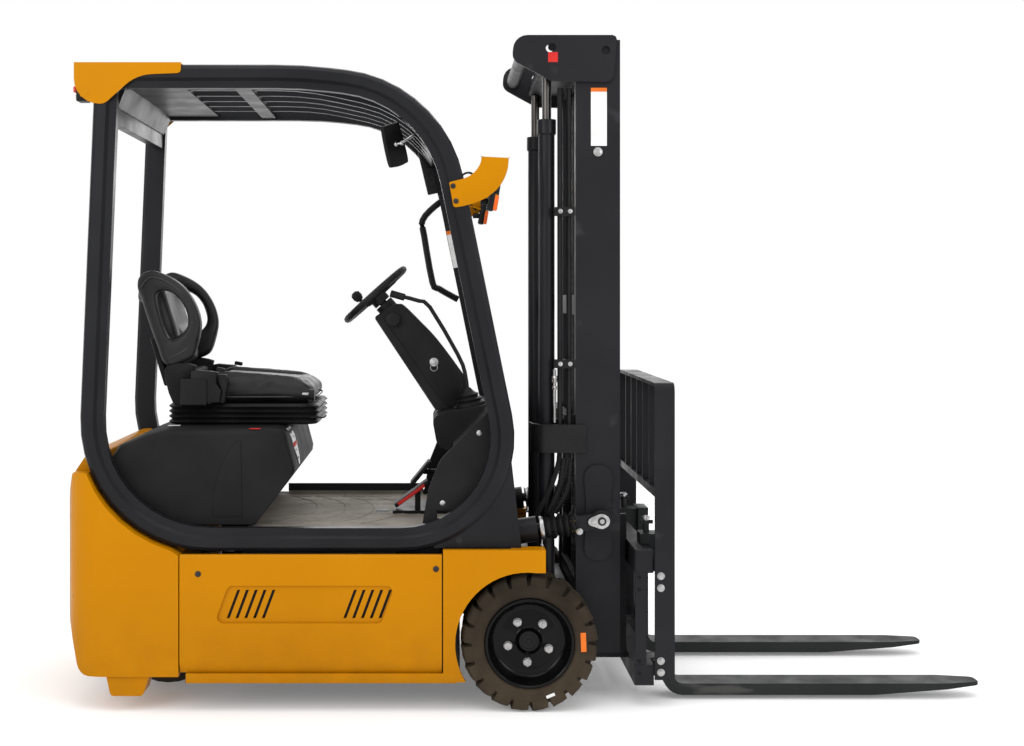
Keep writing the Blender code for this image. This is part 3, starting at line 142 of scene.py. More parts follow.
def makeFinish(name, look):
    finish = bpy.data.materials.new(name)
    finish.use_nodes = True
    tree = finish.node_tree
    shader = tree.nodes["Principled BSDF"]
    coords = addNode(tree, "ShaderNodeTexCoord").outputs["Object"]
    broad = noiseOn(tree, coords, look.get("toneScale", 3.0), 5.0, look.get("stretch"))
    tone = blendTone(tree, spread(tree, broad, 0, 1), look["tone"], look["altTone"])
    if "scuff" in look:
        rubbed = noiseOn(tree, coords, look["scuffScale"], 8.0, look.get("scuffStretch"))
        edge = look.get("scuffFrom", 0.60)
        amount = spread(tree, rubbed, 0, look.get("scuffAmount", 0.6), edge, edge + 0.08)
        tone = blendTone(tree, amount, tone, look["scuff"])
    if "dust" in look:
        apart = addNode(tree, "ShaderNodeSeparateXYZ")
        link(tree, coords, apart.inputs["Vector"])
        low = spread(tree, apart.outputs["Z"], look["dustAmount"], 0.0, 0.0, look["dustTop"])
        speckle = noiseOn(tree, coords, 14.0, 6.0)
        both = addNode(tree, "ShaderNodeMath", operation="MULTIPLY")
        link(tree, low, both.inputs[0])
        link(tree, speckle, both.inputs[1])
        tone = blendTone(tree, both.outputs[0], tone, look["dust"])
    link(tree, tone, shader.inputs["Base Color"])
    wander = noiseOn(tree, coords, look.get("roughScale", 9.0), 6.0, look.get("stretch"))
    link(tree, spread(tree, wander, *look["rough"]), shader.inputs["Roughness"])
    shader.inputs["Metallic"].default_value = look.get("metallic", 0.0)
    shader.inputs["Specular IOR Level"].default_value = look.get("shine", 0.2)
    shader.inputs["Coat Weight"].default_value = look.get("coat", 0.0)
    shader.inputs["Coat Roughness"].default_value = look.get("coatRough", 0.1)
    shader.inputs["Sheen Weight"].default_value = look.get("sheen", 0.0)
    if "glow" in look:
        shader.inputs["Emission Color"].default_value = (1, 1, 1, 1)
        shader.inputs["Emission Strength"].default_value = look["glow"]
    grain = look.get("grain", "noise")
    if grain == "cells":
        texture = addNode(tree, "ShaderNodeTexVoronoi", feature="SMOOTH_F1")
        texture.inputs["Scale"].default_value = look["grainScale"]
        link(tree, coords, texture.inputs["Vector"])
        height = texture.outputs["Distance"]
    elif grain == "bands":
        texture = addNode(tree, "ShaderNodeTexWave", wave_type="BANDS", bands_direction="Z")
        texture.inputs["Scale"].default_value = look["grainScale"]
        link(tree, coords, texture.inputs["Vector"])
        height = texture.outputs["Fac"]
    else:
        height = noiseOn(tree, coords, look["grainScale"], 3.0, look.get("stretch"))
    bump = addNode(tree, "ShaderNodeBump")
    bump.inputs["Strength"].default_value = look.get("grainStrength", 0.2)
    bump.inputs["Distance"].default_value = look.get("grainDepth", 0.0004)
    link(tree, height, bump.inputs["Height"])
    link(tree, bump.outputs["Normal"], shader.inputs["Normal"])
    return finish


looks = {
    "yellowPaint": {"tone": (0.440, 0.168, 0.0002), "altTone": (0.490, 0.192, 0.0004),
                    "toneScale": 1.6, "rough": (0.24, 0.38), "shine": 0.05, "coat": 0.02,
                    "coatRough": 0.10, "grainScale": 260.0, "grainStrength": 0.08,
                    "dust": (0.16, 0.066, 0.006), "dustAmount": 0.6, "dustTop": 0.42},
    "framePaint": {"tone": (0.0075, 0.0077, 0.0090), "altTone": (0.0120, 0.0122, 0.0142),
                   "toneScale": 4.0, "rough": (0.28, 0.42), "shine": 0.15,
                   "grainScale": 420.0, "grainStrength": 0.22},
    "mastPaint": {"tone": (0.0088, 0.0088, 0.0105), "altTone": (0.0150, 0.0150, 0.0172),
                  "toneScale": 2.5, "rough": (0.36, 0.54), "shine": 0.13,
                  "grainScale": 380.0, "grainStrength": 0.22,
                  "scuff": (0.050, 0.050, 0.054), "scuffScale": 7.0,
                  "scuffFrom": 0.66, "scuffAmount": 0.35},
    "forkPaint": {"tone": (0.0085, 0.0095, 0.0098), "altTone": (0.016, 0.0172, 0.0176),
                  "toneScale": 3.0, "rough": (0.30, 0.60), "shine": 0.18,
                  "grainScale": 300.0, "grainStrength": 0.25,
                  "scuff": (0.085, 0.082, 0.078), "scuffScale": 9.0,
                  "scuffStretch": (0.35, 1.6, 1.6), "scuffFrom": 0.63, "scuffAmount": 0.5},
    "hoodPlastic": {"tone": (0.0052, 0.0052, 0.0056), "altTone": (0.0105, 0.0105, 0.0112),
                    "toneScale": 5.0, "rough": (0.50, 0.68), "shine": 0.15, "grain": "cells",
                    "grainScale": 520.0, "grainStrength": 0.35, "grainDepth": 0.0005},
    "trimPlastic": {"tone": (0.0040, 0.0040, 0.0042), "altTone": (0.0090, 0.0090, 0.0092),
                    "toneScale": 8.0, "rough": (0.36, 0.55), "shine": 0.16,
                    "grainScale": 600.0, "grainStrength": 0.2},
    "seatVinyl": {"tone": (0.0048, 0.0048, 0.0053), "altTone": (0.0095, 0.0095, 0.0104),
                  "toneScale": 7.0, "rough": (0.36, 0.52), "shine": 0.30, "grain": "cells",
                  "grainScale": 330.0, "grainStrength": 0.5, "grainDepth": 0.0006},
    "seatCord": {"tone": (0.012, 0.012, 0.0125), "altTone": (0.020, 0.020, 0.021),
                 "toneScale": 12.0, "rough": (0.38, 0.5), "shine": 0.45,
                 "grainScale": 500.0, "grainStrength": 0.3},
    "tyreRubber": {"tone": (0.0150, 0.0118, 0.0085), "altTone": (0.030, 0.0230, 0.0160),
                   "toneScale": 10.0, "rough": (0.70, 0.92), "shine": 0.08,
                   "grainScale": 160.0, "grainStrength": 0.5, "grainDepth": 0.001,
                   "dust": (0.095, 0.070, 0.045), "dustAmount": 0.75, "dustTop": 0.46},
    "rimGloss": {"tone": (0.0012, 0.0012, 0.0014), "altTone": (0.003, 0.003, 0.0033),
                 "toneScale": 6.0, "rough": (0.10, 0.20), "shine": 0.12, "coat": 0.05,
                 "coatRough": 0.05, "grainScale": 90.0, "grainStrength": 0.06},
    "boltSteel": {"tone": (0.30, 0.30, 0.31), "altTone": (0.50, 0.49, 0.48), "toneScale": 60.0,
                  "rough": (0.24, 0.42), "metallic": 1.0, "grainScale": 300.0,
                  "grainStrength": 0.15},
    "boltBlack": {"tone": (0.006, 0.006, 0.007), "altTone": (0.018, 0.018, 0.019),
                  "toneScale": 20.0, "rough": (0.35, 0.5), "shine": 0.3,
                  "grainScale": 300.0, "grainStrength": 0.2},
    "rodChrome": {"tone": (0.30, 0.29, 0.285), "altTone": (0.42, 0.41, 0.40),
                  "toneScale": 8.0, "rough": (0.12, 0.28), "metallic": 1.0,
                  "stretch": (12, 12, 0.6), "grainScale": 60.0, "grainStrength": 0.05},
    "brassFitting": {"tone": (0.50, 0.32, 0.09), "altTone": (0.62, 0.42, 0.14),
                     "toneScale": 30.0, "rough": (0.25, 0.42), "metallic": 1.0,
                     "grainScale": 300.0, "grainStrength": 0.15},
    "hoseRubber": {"tone": (0.0042, 0.0042, 0.0046), "altTone": (0.0088, 0.0088, 0.0092),
                   "toneScale": 14.0, "rough": (0.40, 0.58), "shine": 0.2, "grain": "bands",
                   "grainScale": 60.0, "grainStrength": 0.45, "grainDepth": 0.0008},
    "chainSteel": {"tone": (0.018, 0.017, 0.016), "altTone": (0.045, 0.042, 0.038),
                   "toneScale": 40.0, "rough": (0.35, 0.5), "metallic": 0.5, "shine": 0.3,
                   "grainScale": 300.0, "grainStrength": 0.2},
    "matRubber": {"tone": (0.150, 0.134, 0.112), "altTone": (0.270, 0.245, 0.210),
                  "toneScale": 6.0, "rough": (0.70, 0.90), "shine": 0.2,
                  "grainScale": 220.0, "grainStrength": 0.45, "grainDepth": 0.0008},
    # lift rods: chrome steel given a far darker tone than real chrome, painted shade for the
    # occluded rods inside the mast
    "rodSteelPaintedShade": {"tone": (0.055, 0.052, 0.050), "altTone": (0.110, 0.104, 0.098),
                "toneScale": 8.0, "rough": (0.20, 0.34), "metallic": 1.0,
                "stretch": (12, 12, 0.6), "grainScale": 60.0, "grainStrength": 0.05},
    "amberLens": {"tone": (0.62, 0.085, 0.004), "altTone": (0.80, 0.135, 0.008),
                  "toneScale": 30.0, "rough": (0.10, 0.2), "coat": 0.2, "grain": "bands",
                  "grainScale": 70.0, "grainStrength": 0.5, "grainDepth": 0.001},
    "redLens": {"tone": (0.42, 0.012, 0.010), "altTone": (0.60, 0.03, 0.02),
                "toneScale": 30.0, "rough": (0.10, 0.2), "coat": 0.5, "grain": "bands",
                "grainScale": 70.0, "grainStrength": 0.5, "grainDepth": 0.001},
    "paleLens": {"tone": (0.62, 0.62, 0.60), "altTone": (0.80, 0.80, 0.78),
                 "toneScale": 30.0, "rough": (0.10, 0.25), "coat": 0.4, "grainScale": 80.0,
                 "grainStrength": 0.3},
    "labelWhite": {"tone": (0.62, 0.62, 0.61), "altTone": (0.76, 0.76, 0.75),
                   "toneScale": 12.0, "rough": (0.35, 0.5), "grainScale": 300.0,
                   "grainStrength": 0.08},
    "labelOrange": {"tone": (0.62, 0.13, 0.012), "altTone": (0.74, 0.175, 0.02),
                    "toneScale": 12.0, "rough": (0.35, 0.5), "grainScale": 300.0,
                    "grainStrength": 0.08},
    "labelRed": {"tone": (0.42, 0.012, 0.012), "altTone": (0.54, 0.024, 0.02),
                 "toneScale": 12.0, "rough": (0.35, 0.5), "grainScale": 300.0,
                 "grainStrength": 0.08},
    "mirrorFace": {"tone": (0.70, 0.71, 0.72), "altTone": (0.78, 0.79, 0.80),
                   "toneScale": 4.0, "rough": (0.03, 0.07), "metallic": 1.0,
                   "grainScale": 20.0, "grainStrength": 0.02},
    "batteryGrey": {"tone": (0.050, 0.052, 0.056), "altTone": (0.085, 0.087, 0.090),
                    "toneScale": 4.0, "rough": (0.45, 0.65), "grainScale": 200.0,
                    "grainStrength": 0.2, "scuff": (0.15, 0.12, 0.10), "scuffScale": 6.0},
    "floorPale": {"tone": (0.84, 0.84, 0.84), "altTone": (0.88, 0.88, 0.88),
                  "toneScale": 0.4, "rough": (0.8, 0.95), "shine": 0.0, "glow": 0.16,
                  "grainScale": 40.0, "grainStrength": 0.02},
}
finishes = {name: makeFinish(name, look) for name, look in looks.items()}
print("finishes made:", len(finishes))

floorShape = bmesh.new()
bmesh.ops.create_grid(floorShape, x_segments=2, y_segments=2, size=60)
floorMesh = bpy.data.meshes.new("floor")
floorShape.to_mesh(floorMesh)
floorShape.free()
floor = bpy.data.objects.new("floor", floorMesh)
floorMesh.materials.append(finishes["floorPale"])
scene.collection.objects.link(floor)
floor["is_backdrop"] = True

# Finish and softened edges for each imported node
softWidths = {
    "counterweight": 0.012, "side_panel": 0.0022, "front_fender": 0.004, "roof_cap": 0.001,
    "front_light": 0.001, "battery_hood": 0.004, "dash_cowl": 0.005, "chassis_frame": 0.002,
    "drive_axle": 0.004, "outer_mast": 0.003, "inner_mast": 0.002, "fork_carriage": 0.003,
    "load_backrest": 0.003, "fork": 0.003, "guard_roof": 0.0018, "steering_column": 0.004,
}
nodeFinishes = {
    "yellowPaint": ["counterweight", "side_panel", "front_fender", "roof_cap", "front_light"],
    "framePaint": ["chassis_frame", "guard_frame", "guard_roof", "drive_axle",
                   "rear_steer_yoke", "lift_cylinder", "tilt_cylinder", "tilt_rod"],
    "mastPaint": ["outer_mast", "inner_mast", "fork_carriage", "load_backrest"],
    "forkPaint": ["fork"],
    "hoodPlastic": ["battery_hood", "dash_cowl"],
    "trimPlastic": ["steering_column", "control_lever", "foot_pedals", "grab_handle",
                    "rear_view_mirror", "steering_wheel", "seat_base"],
    "seatVinyl": ["seat_cushion", "seat_backrest"],
    "tyreRubber": ["front_tyre", "rear_tyre"],
    "rimGloss": ["front_rim", "rear_wheel_hub"],
    "hoseRubber": ["mast_hoses", "tilt_boot"],
    # the lift rods take the darkened steel, a painted shade
    "rodSteelPaintedShade": ["lift_rod"],
    "matRubber": ["floor_mat"],
    "batteryGrey": ["battery_block"],
}


def plainName(node):
    for side in ("right_", "left_"):
        if node.startswith(side):
            return node[len(side):]
    return node


finishOf = {plain: finish for finish, members in nodeFinishes.items() for plain in members}
for name, node in nodes.items():
    plain = plainName(name)
    node.data.materials.clear()
    node.data.materials.append(finishes[finishOf[plain]])
    for attribute in ("custom_normal", "sharp_edge"):
        if attribute in node.data.attributes:
            node.data.attributes.remove(node.data.attributes[attribute])
    node.data.shade_smooth()
    weld = node.modifiers.new("weld", "WELD")
    weld.merge_threshold = 0.00003
    flatten = node.modifiers.new("flatten", "DECIMATE")
    flatten.decimate_type = "DISSOLVE"
    flatten.angle_limit = radians(0.5)
    edge = node.modifiers.new("edge", "BEVEL")
    edge.width = softWidths.get(plain, 0.0015)
    edge.segments = 2
    edge.limit_method = "ANGLE"
    edge.angle_limit = radians(32)
    shade = node.modifiers.new("shade", "WEIGHTED_NORMAL")
    shade.keep_sharp = False
print("packed nodes finished:", len(nodes))


# Shared shapes
def addPiece(name, shape, finish, body, sharp=38, turned=False):
    bmesh.ops.remove_doubles(shape, verts=shape.verts, dist=0.00001)
    if turned:
        bmesh.ops.recalc_face_normals(shape, faces=shape.faces)
    mesh = bpy.data.meshes.new(name)
    shape.to_mesh(mesh)
    shape.free()
    piece = bpy.data.objects.new(name, mesh)
    scene.collection.objects.link(piece)
    mesh.materials.append(finishes[finish])
    mesh.shade_smooth()
    mesh.set_sharp_from_angle(angle=radians(sharp))
    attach(piece, body)
    return piece


def edgesOf(verts):  # each edge once, always in the same order
    return list(dict.fromkeys(edge for vert in verts for edge in vert.link_edges))


def softEdges(shape, edges, width, segments=2):
    bmesh.ops.bevel(shape, geom=edges, offset=width, segments=segments, affect="EDGES",
                    profile=0.5, material=-1)


def towards(direction):
    return Vector(direction).normalized().to_track_quat("Z", "Y").to_matrix().to_4x4()


def addRod(shape, start, end, radius, tip=None, segments=20, edge=0.0):
    span = Vector(end) - Vector(start)
    place = Matrix.Translation((Vector(start) + Vector(end)) / 2) @ towards(span)
    made = bmesh.ops.create_cone(shape, cap_ends=True, segments=segments, radius1=radius,
                                 radius2=radius if tip is None else tip, depth=span.length,
                                 matrix=place)
    if edge:
        rims = [e for e in edgesOf(made["verts"]) if e.calc_face_angle(0) > 0.8]
        softEdges(shape, rims, edge)


def addBlock(shape, low, high, edge=0.0, turn=None, segments=2):
    size = [b - a for a, b in zip(low, high)]
    middle = Vector([(a + b) / 2 for a, b in zip(low, high)])
    place = Matrix.Translation(middle) @ (turn or Matrix()) @ Matrix.Diagonal((*size, 1))
    made = bmesh.ops.create_cube(shape, size=1, matrix=place)
    if edge:
        softEdges(shape, edgesOf(made["verts"]), edge, segments)


def addHexHead(shape, at, direction, across=0.019, height=0.008, washer=True):
    at, direction = Vector(at), Vector(direction).normalized()
    if washer:
        addRod(shape, at, at + direction * 0.002, across * 0.72, segments=20, edge=0.0004)
    addRod(shape, at + direction * 0.0016, at + direction * (height + 0.002), across * 0.577,
           segments=6, edge=0.0009)


def addDome(shape, at, direction, radius, height):
    at, direction = Vector(at), Vector(direction).normalized()
    addRod(shape, at, at + direction * height * 0.45, radius, segments=20)
    addRod(shape, at + direction * height * 0.44, at + direction * height, radius,
           tip=radius * 0.55, segments=20, edge=0.0008)


def addSpun(shape, profile, centre, direction, segments):
    part = bmesh.new()
    verts = [part.verts.new((radius, 0, along)) for radius, along in profile]
    loop = [part.edges.new(pair) for pair in zip(verts, verts[1:] + verts[:1])]
    bmesh.ops.spin(part, geom=verts + loop, cent=(0, 0, 0), axis=(0, 0, 1), angle=2 * pi,
                   steps=segments, use_merge=True)
    bmesh.ops.remove_doubles(part, verts=part.verts, dist=0.00001)
    bmesh.ops.delete(part, geom=[e for e in part.edges if not e.link_faces], context="EDGES")
    bmesh.ops.recalc_face_normals(part, faces=part.faces)
    part.transform(Matrix.Translation(centre) @ towards(direction))
    mergeInto(shape, part)


def mergeInto(shape, part):
    mesh = bpy.data.meshes.new("part")
    part.to_mesh(mesh)
    part.free()
    shape.from_mesh(mesh)
    bpy.data.meshes.remove(mesh)


def addTube(shape, points, radius, cyclic=False, resolution=3, smooth=True):
    curve = bpy.data.curves.new("tube", "CURVE")
    curve.dimensions = "3D"
    curve.bevel_depth = radius
    curve.bevel_resolution = resolution
    curve.use_fill_caps = True
    curve.resolution_u = 6
    spline = curve.splines.new("NURBS" if smooth else "POLY")
    spline.points.add(len(points) - 1)
    for spot, point in zip(spline.points, points):
        spot.co = (*point, 1)
    spline.use_cyclic_u = cyclic
    if smooth:
        spline.order_u = 3
        spline.use_endpoint_u = not cyclic
    holder = bpy.data.objects.new("tube", curve)
    scene.collection.objects.link(holder)
    mesh = bpy.data.meshes.new_from_object(holder.evaluated_get(
        bpy.context.evaluated_depsgraph_get()))
    part = bmesh.new()
    part.from_mesh(mesh)
    bmesh.ops.remove_doubles(part, verts=part.verts, dist=0.00001)
    bmesh.ops.recalc_face_normals(part, faces=part.faces)
    mergeInto(shape, part)
    bpy.data.objects.remove(holder)
    bpy.data.curves.remove(curve)
    bpy.data.meshes.remove(mesh)


# Front wheels
tyre = {"radius": 0.229, "axleZ": 0.229, "outer": 0.535, "width": 0.168, "bead": 0.1525,
        "lugs": 20, "lugDepth": 0.017, "lugEdge": 0.0022, "groove": 0.27}
rim = {"nuts": 5, "pitch": 0.073, "nutAcross": 0.024}


def buildTyre(side, sign):
    shape = bmesh.new()
    width, radius = tyre["width"], tyre["radius"]
    inner = tyre["outer"] - width
    base = radius - tyre["lugDepth"]
    profile = [
        (tyre["bead"], 0.012), (0.160, 0.006), (0.172, 0.003), (0.180, 0.0035), (0.184, 0.002),
        (0.194, 0.002), (0.197, 0.010), (base - 0.006, 0.020), (base, 0.030),
        (base, width - 0.030), (base - 0.006, width - 0.020), (0.197, width - 0.010),
        (0.194, width - 0.002), (0.184, width - 0.002), (0.180, width - 0.0035),
        (0.172, width - 0.003), (0.160, width - 0.006), (tyre["bead"], width - 0.012),
    ]
    addSpun(shape, profile, (0, sign * inner, tyre["axleZ"]), (0, sign, 0), 96)
    pitch = 2 * pi / tyre["lugs"]
    half = pitch * (1 - tyre["groove"]) / 2
    for row, low, high in ((0, 0.0006, width * 0.47), (1, width * 0.53, width - 0.0006)):
        for k in range(tyre["lugs"]):
            block = bmesh.new()
            addBlock(block, (-half * radius, low, 0.1925), (half * radius, high, radius + 0.0005))
            bmesh.ops.subdivide_edges(block, edges=block.edges, cuts=2, use_grid_fill=True)
            edgeY = low if row == 0 else high
            for vert in block.verts:
                away = abs(vert.co.y - edgeY)
                if away < 0.001:
                    vert.co.z -= 0.009 if vert.co.z > 0.215 else 0.0
                vert.co.x += (away - width * 0.2) * 0.10 * (1 if row else -1)
                vert.co.z = (max(vert.co.z ** 2 - vert.co.x ** 2, 0.01)) ** 0.5
            wanted = [e for e in block.edges if e.calc_face_angle(0) > 0.7]
            softEdges(block, wanted, tyre["lugEdge"])
            turn = Matrix.Rotation(pitch * (k + row * 0.5), 4, "Y")
            flip = Matrix.Diagonal((1, sign, 1, 1))
            block.transform(Matrix.Translation((0, sign * inner, tyre["axleZ"])) @ flip @ turn)
            if sign < 0:
                bmesh.ops.reverse_faces(block, faces=block.faces)
            mergeInto(shape, block)
    piece = addPiece(side + "FrontTyreTread", shape, "tyreRubber", side + "_front_wheel")
    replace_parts(piece, side + "_front_tyre")


def buildRim(side, sign):
    shape = bmesh.new()
    width = tyre["width"]
    inner = tyre["outer"] - width
    skin = tyre["bead"] - 0.0008
    profile = [
        (0.052, 0.014), (0.130, 0.012), (0.142, 0.006), (skin, 0.008), (skin, width - 0.010),
        (skin - 0.002, width - 0.0062), (skin - 0.007, width - 0.0050),
        (skin - 0.0105, width - 0.0075), (skin - 0.0115, width - 0.015),
        (0.1345, width - 0.024), (0.1325, width - 0.040), (0.128, width - 0.054),
        (0.119, width - 0.063), (0.106, width - 0.066), (0.098, width - 0.063),
        (0.052, width - 0.061), (0.044, width - 0.058), (0.038, width - 0.050), (0.036, 0.070),
        (0.052, 0.062),
    ]
    addSpun(shape, profile, (0, sign * inner, tyre["axleZ"]), (0, sign, 0), 72)
    piece = addPiece(side + "FrontRimDish", shape, "rimGloss", side + "_front_wheel")
    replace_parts(piece, side + "_front_rim")
    face = sign * (inner + width - 0.062)
    cap = bmesh.new()
    addSpun(cap, [(0, 0.0), (0.0355, 0.0), (0.0355, 0.016), (0.0330, 0.0205), (0.026, 0.022),
                  (0.0245, 0.0195), (0.010, 0.0190), (0.009, 0.0215), (0, 0.0220)],
            (0, face, tyre["axleZ"]), (0, sign, 0), 40)
    addPiece(side + "HubCap", cap, "trimPlastic", side + "_front_wheel")
    nuts = bmesh.new()
    for k in range(rim["nuts"]):
        angle = 2 * pi * k / rim["nuts"] + radians(50)
        at = (rim["pitch"] * cos(angle), face, tyre["axleZ"] + rim["pitch"] * sin(angle))
        addRod(nuts, at, (at[0], at[1] + sign * 0.005, at[2]), 0.0165, tip=0.0145, segments=24)
        addHexHead(nuts, (at[0], at[1] + sign * 0.004, at[2]), (0, sign, 0),
                   rim["nutAcross"], 0.013, False)
        addRod(nuts, (at[0], at[1] + sign * 0.016, at[2]),
               (at[0], at[1] + sign * 0.024, at[2]), 0.0062, segments=14, edge=0.0012)
    addPiece(side + "WheelNuts", nuts, "boltSteel", side + "_front_wheel")


for side, sign in (("right", -1), ("left", 1)):
    buildTyre(side, sign)
    buildRim(side, sign)
print("front wheels done")


# Blank stickers, thin plates that lie on the face behind them
stickers = [
    ("mastLabel", (0.2235, -0.3562, 1.917), (0.2790, -0.3551, 2.1050), "labelWhite", "mast",
     "black_paint"),
    ("mastLabelBand", (0.2235, -0.3563, 2.1052), (0.2790, -0.3551, 2.1185), "labelOrange",
     "mast", "black_paint"),
    ("headLabel", (0.0740, -0.3684, 2.206), (0.1080, -0.3676, 2.2405), "labelRed", "mast",
     "black_paint"),
    ("hoodLabel", (-1.2560, -0.300, 0.9402), (-1.2130, -0.270, 0.9412), "labelWhite", "hood",
     "black_plastic"),
]
stickerEdge = 0.0004
for name, low, high, finish, body, slot in stickers:
    shape = bmesh.new()
    addBlock(shape, low, high, stickerEdge, None, 1)
    addPiece(name, shape, finish, body)

wheelMark = {"face": -0.5338, "marks": {
    "tyreMarkOrange": (88, 0.180, (0.064, 0.0012, 0.018), "labelOrange"),
    "tyreMarkPale": (158, 0.186, (0.030, 0.0012, 0.010), "labelWhite"),
}}  # angle in degrees from the top, radius, size and finish


def buildWheelMarks(look):
    for name, (angle, radius, size, finish) in look["marks"].items():
        spin = Matrix.Rotation(radians(angle), 4, "Y")
        middle = spin @ Vector((0, 0, radius))
        place = Matrix.Translation((middle.x, look["face"], tyre["axleZ"] + middle.z)) @ spin
        shape = bmesh.new()
        bmesh.ops.create_cube(shape, size=1, matrix=place @ Matrix.Diagonal((*size, 1)))
        addPiece(name, shape, finish, "right_front_wheel")


buildWheelMarks(wheelMark)
print("stickers done")

# Plates and pads for the seat
def contour(points, steps=4):
    ring = [Vector(p) for p in points]
    count = len(ring)
    result = []
    for i in range(count):
        before, here, after, beyond = (ring[(i + k - 1) % count] for k in range(4))
        for step in range(steps):
            t = step / steps
            result.append(0.5 * ((2 * here) + (after - before) * t
                                 + (2 * before - 5 * here + 4 * after - beyond) * t ** 2
                                 + (3 * here - before - 3 * after + beyond) * t ** 3))
    return result


def addPlate(shape, outline, near, far, hole=None, edge=0.0, segments=3):
    part = bmesh.new()
    rings = [outline] + ([hole] if hole else [])
    for ring in rings:
        verts = [part.verts.new((p[0], near, p[1])) for p in ring]
        for pair in zip(verts, verts[1:] + verts[:1]):
            part.edges.new(pair)
    bmesh.ops.triangle_fill(part, use_beauty=True, use_dissolve=False, edges=part.edges)
    bmesh.ops.dissolve_limit(part, angle_limit=0.01, verts=part.verts, edges=part.edges)
    made = bmesh.ops.extrude_face_region(part, geom=list(part.faces))
    moved = [v for v in made["geom"] if isinstance(v, bmesh.types.BMVert)]
    bmesh.ops.translate(part, verts=moved, vec=(0, far - near, 0))
    bmesh.ops.recalc_face_normals(part, faces=part.faces)
    if edge:
        rims = [e for e in part.edges if e.calc_face_angle(0) > 1.2
                and abs(e.verts[0].co.y - e.verts[1].co.y) < 0.0001]
        softEdges(part, rims, edge, segments)
    mergeInto(shape, part)


padFrames = 20  # time for the cloth to swell and settle


def swollen(shape, look):
    mesh = bpy.data.meshes.new("pad")
    shape.to_mesh(mesh)
    shape.free()
    pad = bpy.data.objects.new("pad", mesh)
    scene.collection.objects.link(pad)
    remesh = pad.modifiers.new("remesh", "REMESH")
    remesh.mode = "VOXEL"
    remesh.voxel_size = look["voxel"]
    graph = bpy.context.evaluated_depsgraph_get()
    fresh = bpy.data.meshes.new_from_object(pad.evaluated_get(graph))
    pad.modifiers.clear()
    pad.data = fresh
    rest = [v.co.copy() for v in fresh.vertices]
    cloth = pad.modifiers.new("cloth", "CLOTH")
    cloth.settings.use_pressure = True
    cloth.settings.uniform_pressure_force = look["pressure"]
    cloth.settings.effector_weights.gravity = 0
    cloth.settings.quality = 5
    cloth.point_cache.frame_start = 1
    cloth.point_cache.frame_end = padFrames
    for step in range(1, padFrames + 1):
        scene.frame_set(step)
    graph = bpy.context.evaluated_depsgraph_get()
    done = bpy.data.meshes.new_from_object(pad.evaluated_get(graph))
    pad.modifiers.clear()
    moved = [v.co.copy() for v in done.vertices]
    for vert, home, now in zip(fresh.vertices, rest, moved):
        step = now - home
        if step.length > look["cap"]:
            step *= look["cap"] / step.length
        vert.co = home + step
    scene.frame_set(1)
    result = bmesh.new()
    result.from_mesh(pad.data)
    bpy.data.objects.remove(pad)
    for passes in range(look["smoothing"]):
        bmesh.ops.smooth_vert(result, verts=result.verts, factor=0.5, use_axis_x=True,
                              use_axis_y=True, use_axis_z=True)
    return result


def finishPad(name, shape, node):
    piece = addPiece(name, shape, "seatVinyl", "hood", 180)
    even = piece.modifiers.new("even", "SUBSURF")
    even.levels = even.render_levels = 1
    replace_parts(piece, node)


cushion = {"back": -1.140, "nose": -0.742, "half": 0.222, "bottom": 1.020, "side": 1.098,
           "bolster": 1.128, "drop": 0.030, "voxel": 0.006, "cap": 0.010, "pressure": 4.0,
           "smoothing": 4, "cordZ": 1.036, "cordProud": 0.0040}


def buildCushion(look):
    shape = bmesh.new()
    back, nose, half = look["back"], look["nose"], look["half"]
    addBlock(shape, (back, -half, look["bottom"]), (nose, half, look["side"]), 0.030)
    addBlock(shape, (back + 0.02, -0.150, 1.060), (nose - 0.004, 0.150, 1.110), 0.022)
    for sign in (-1, 1):
        addBlock(shape, (back + 0.004, sign * 0.186 - 0.032, 1.050),
                 (nose - 0.020, sign * 0.186 + 0.032, look["bolster"]), 0.028)
    addBlock(shape, (nose - 0.100, -half + 0.010, look["bottom"] + 0.004),
             (nose + 0.002, half - 0.010, look["side"] + 0.016), 0.036)
    for vert in shape.verts:
        along = (vert.co.x - back) / (nose - back)
        high = max(0.0, (vert.co.z - 1.045) / 0.07)
        vert.co.z -= look["drop"] * along * min(high, 1.2)
    finishPad("seatCushionPad", swollen(shape, look), "seat_cushion")
    cord = bmesh.new()
    rim = [(back + 0.030, half - 0.010), (nose - 0.060, half - 0.012),
           (nose - 0.012, half - 0.052), (nose - 0.002, 0.100), (nose - 0.002, -0.100),
           (nose - 0.012, -half + 0.052), (nose - 0.060, -half + 0.012),
           (back + 0.030, -half + 0.010)]
    grow = look["cordProud"]
    addTube(cord, [(x + (grow if x > nose - 0.1 else 0), y * (1 + grow / half * 1.4),
                    look["cordZ"]) for x, y in rim], 0.0030)
    addPiece("seatCushionCord", cord, "seatCord", "hood")


buildCushion(cushion)

backrest = {"voxel": 0.006, "cap": 0.005, "pressure": 3.0, "smoothing": 3,
            "wing": (0.186, 0.238), "lean": radians(-17)}
wingEdge = [(-1.3744, 1.4302), (-1.3720, 1.4640), (-1.3420, 1.4870), (-1.3031, 1.4840),
            (-1.2351, 1.4472), (-1.1876, 1.3962), (-1.1600, 1.3419), (-1.1505, 1.2875),
            (-1.1600, 1.2332), (-1.1760, 1.1800), (-1.2080, 1.1600), (-1.2725, 1.1480),
            (-1.3031, 1.2196), (-1.3371, 1.3147), (-1.3640, 1.3980)]
wingHole = [(-1.3133, 1.3950), (-1.2827, 1.4132), (-1.2400, 1.3975), (-1.2090, 1.3623),
            (-1.1950, 1.3079), (-1.2120, 1.2700), (-1.2555, 1.2440), (-1.2759, 1.2566),
            (-1.3000, 1.3215)]
wingSeam = [(-1.3600, 1.4280), (-1.3420, 1.4600), (-1.3050, 1.4640), (-1.2420, 1.4330),
            (-1.2000, 1.3900), (-1.1750, 1.3380), (-1.1690, 1.2870), (-1.1800, 1.2380),
            (-1.2060, 1.1980), (-1.2600, 1.1760)]


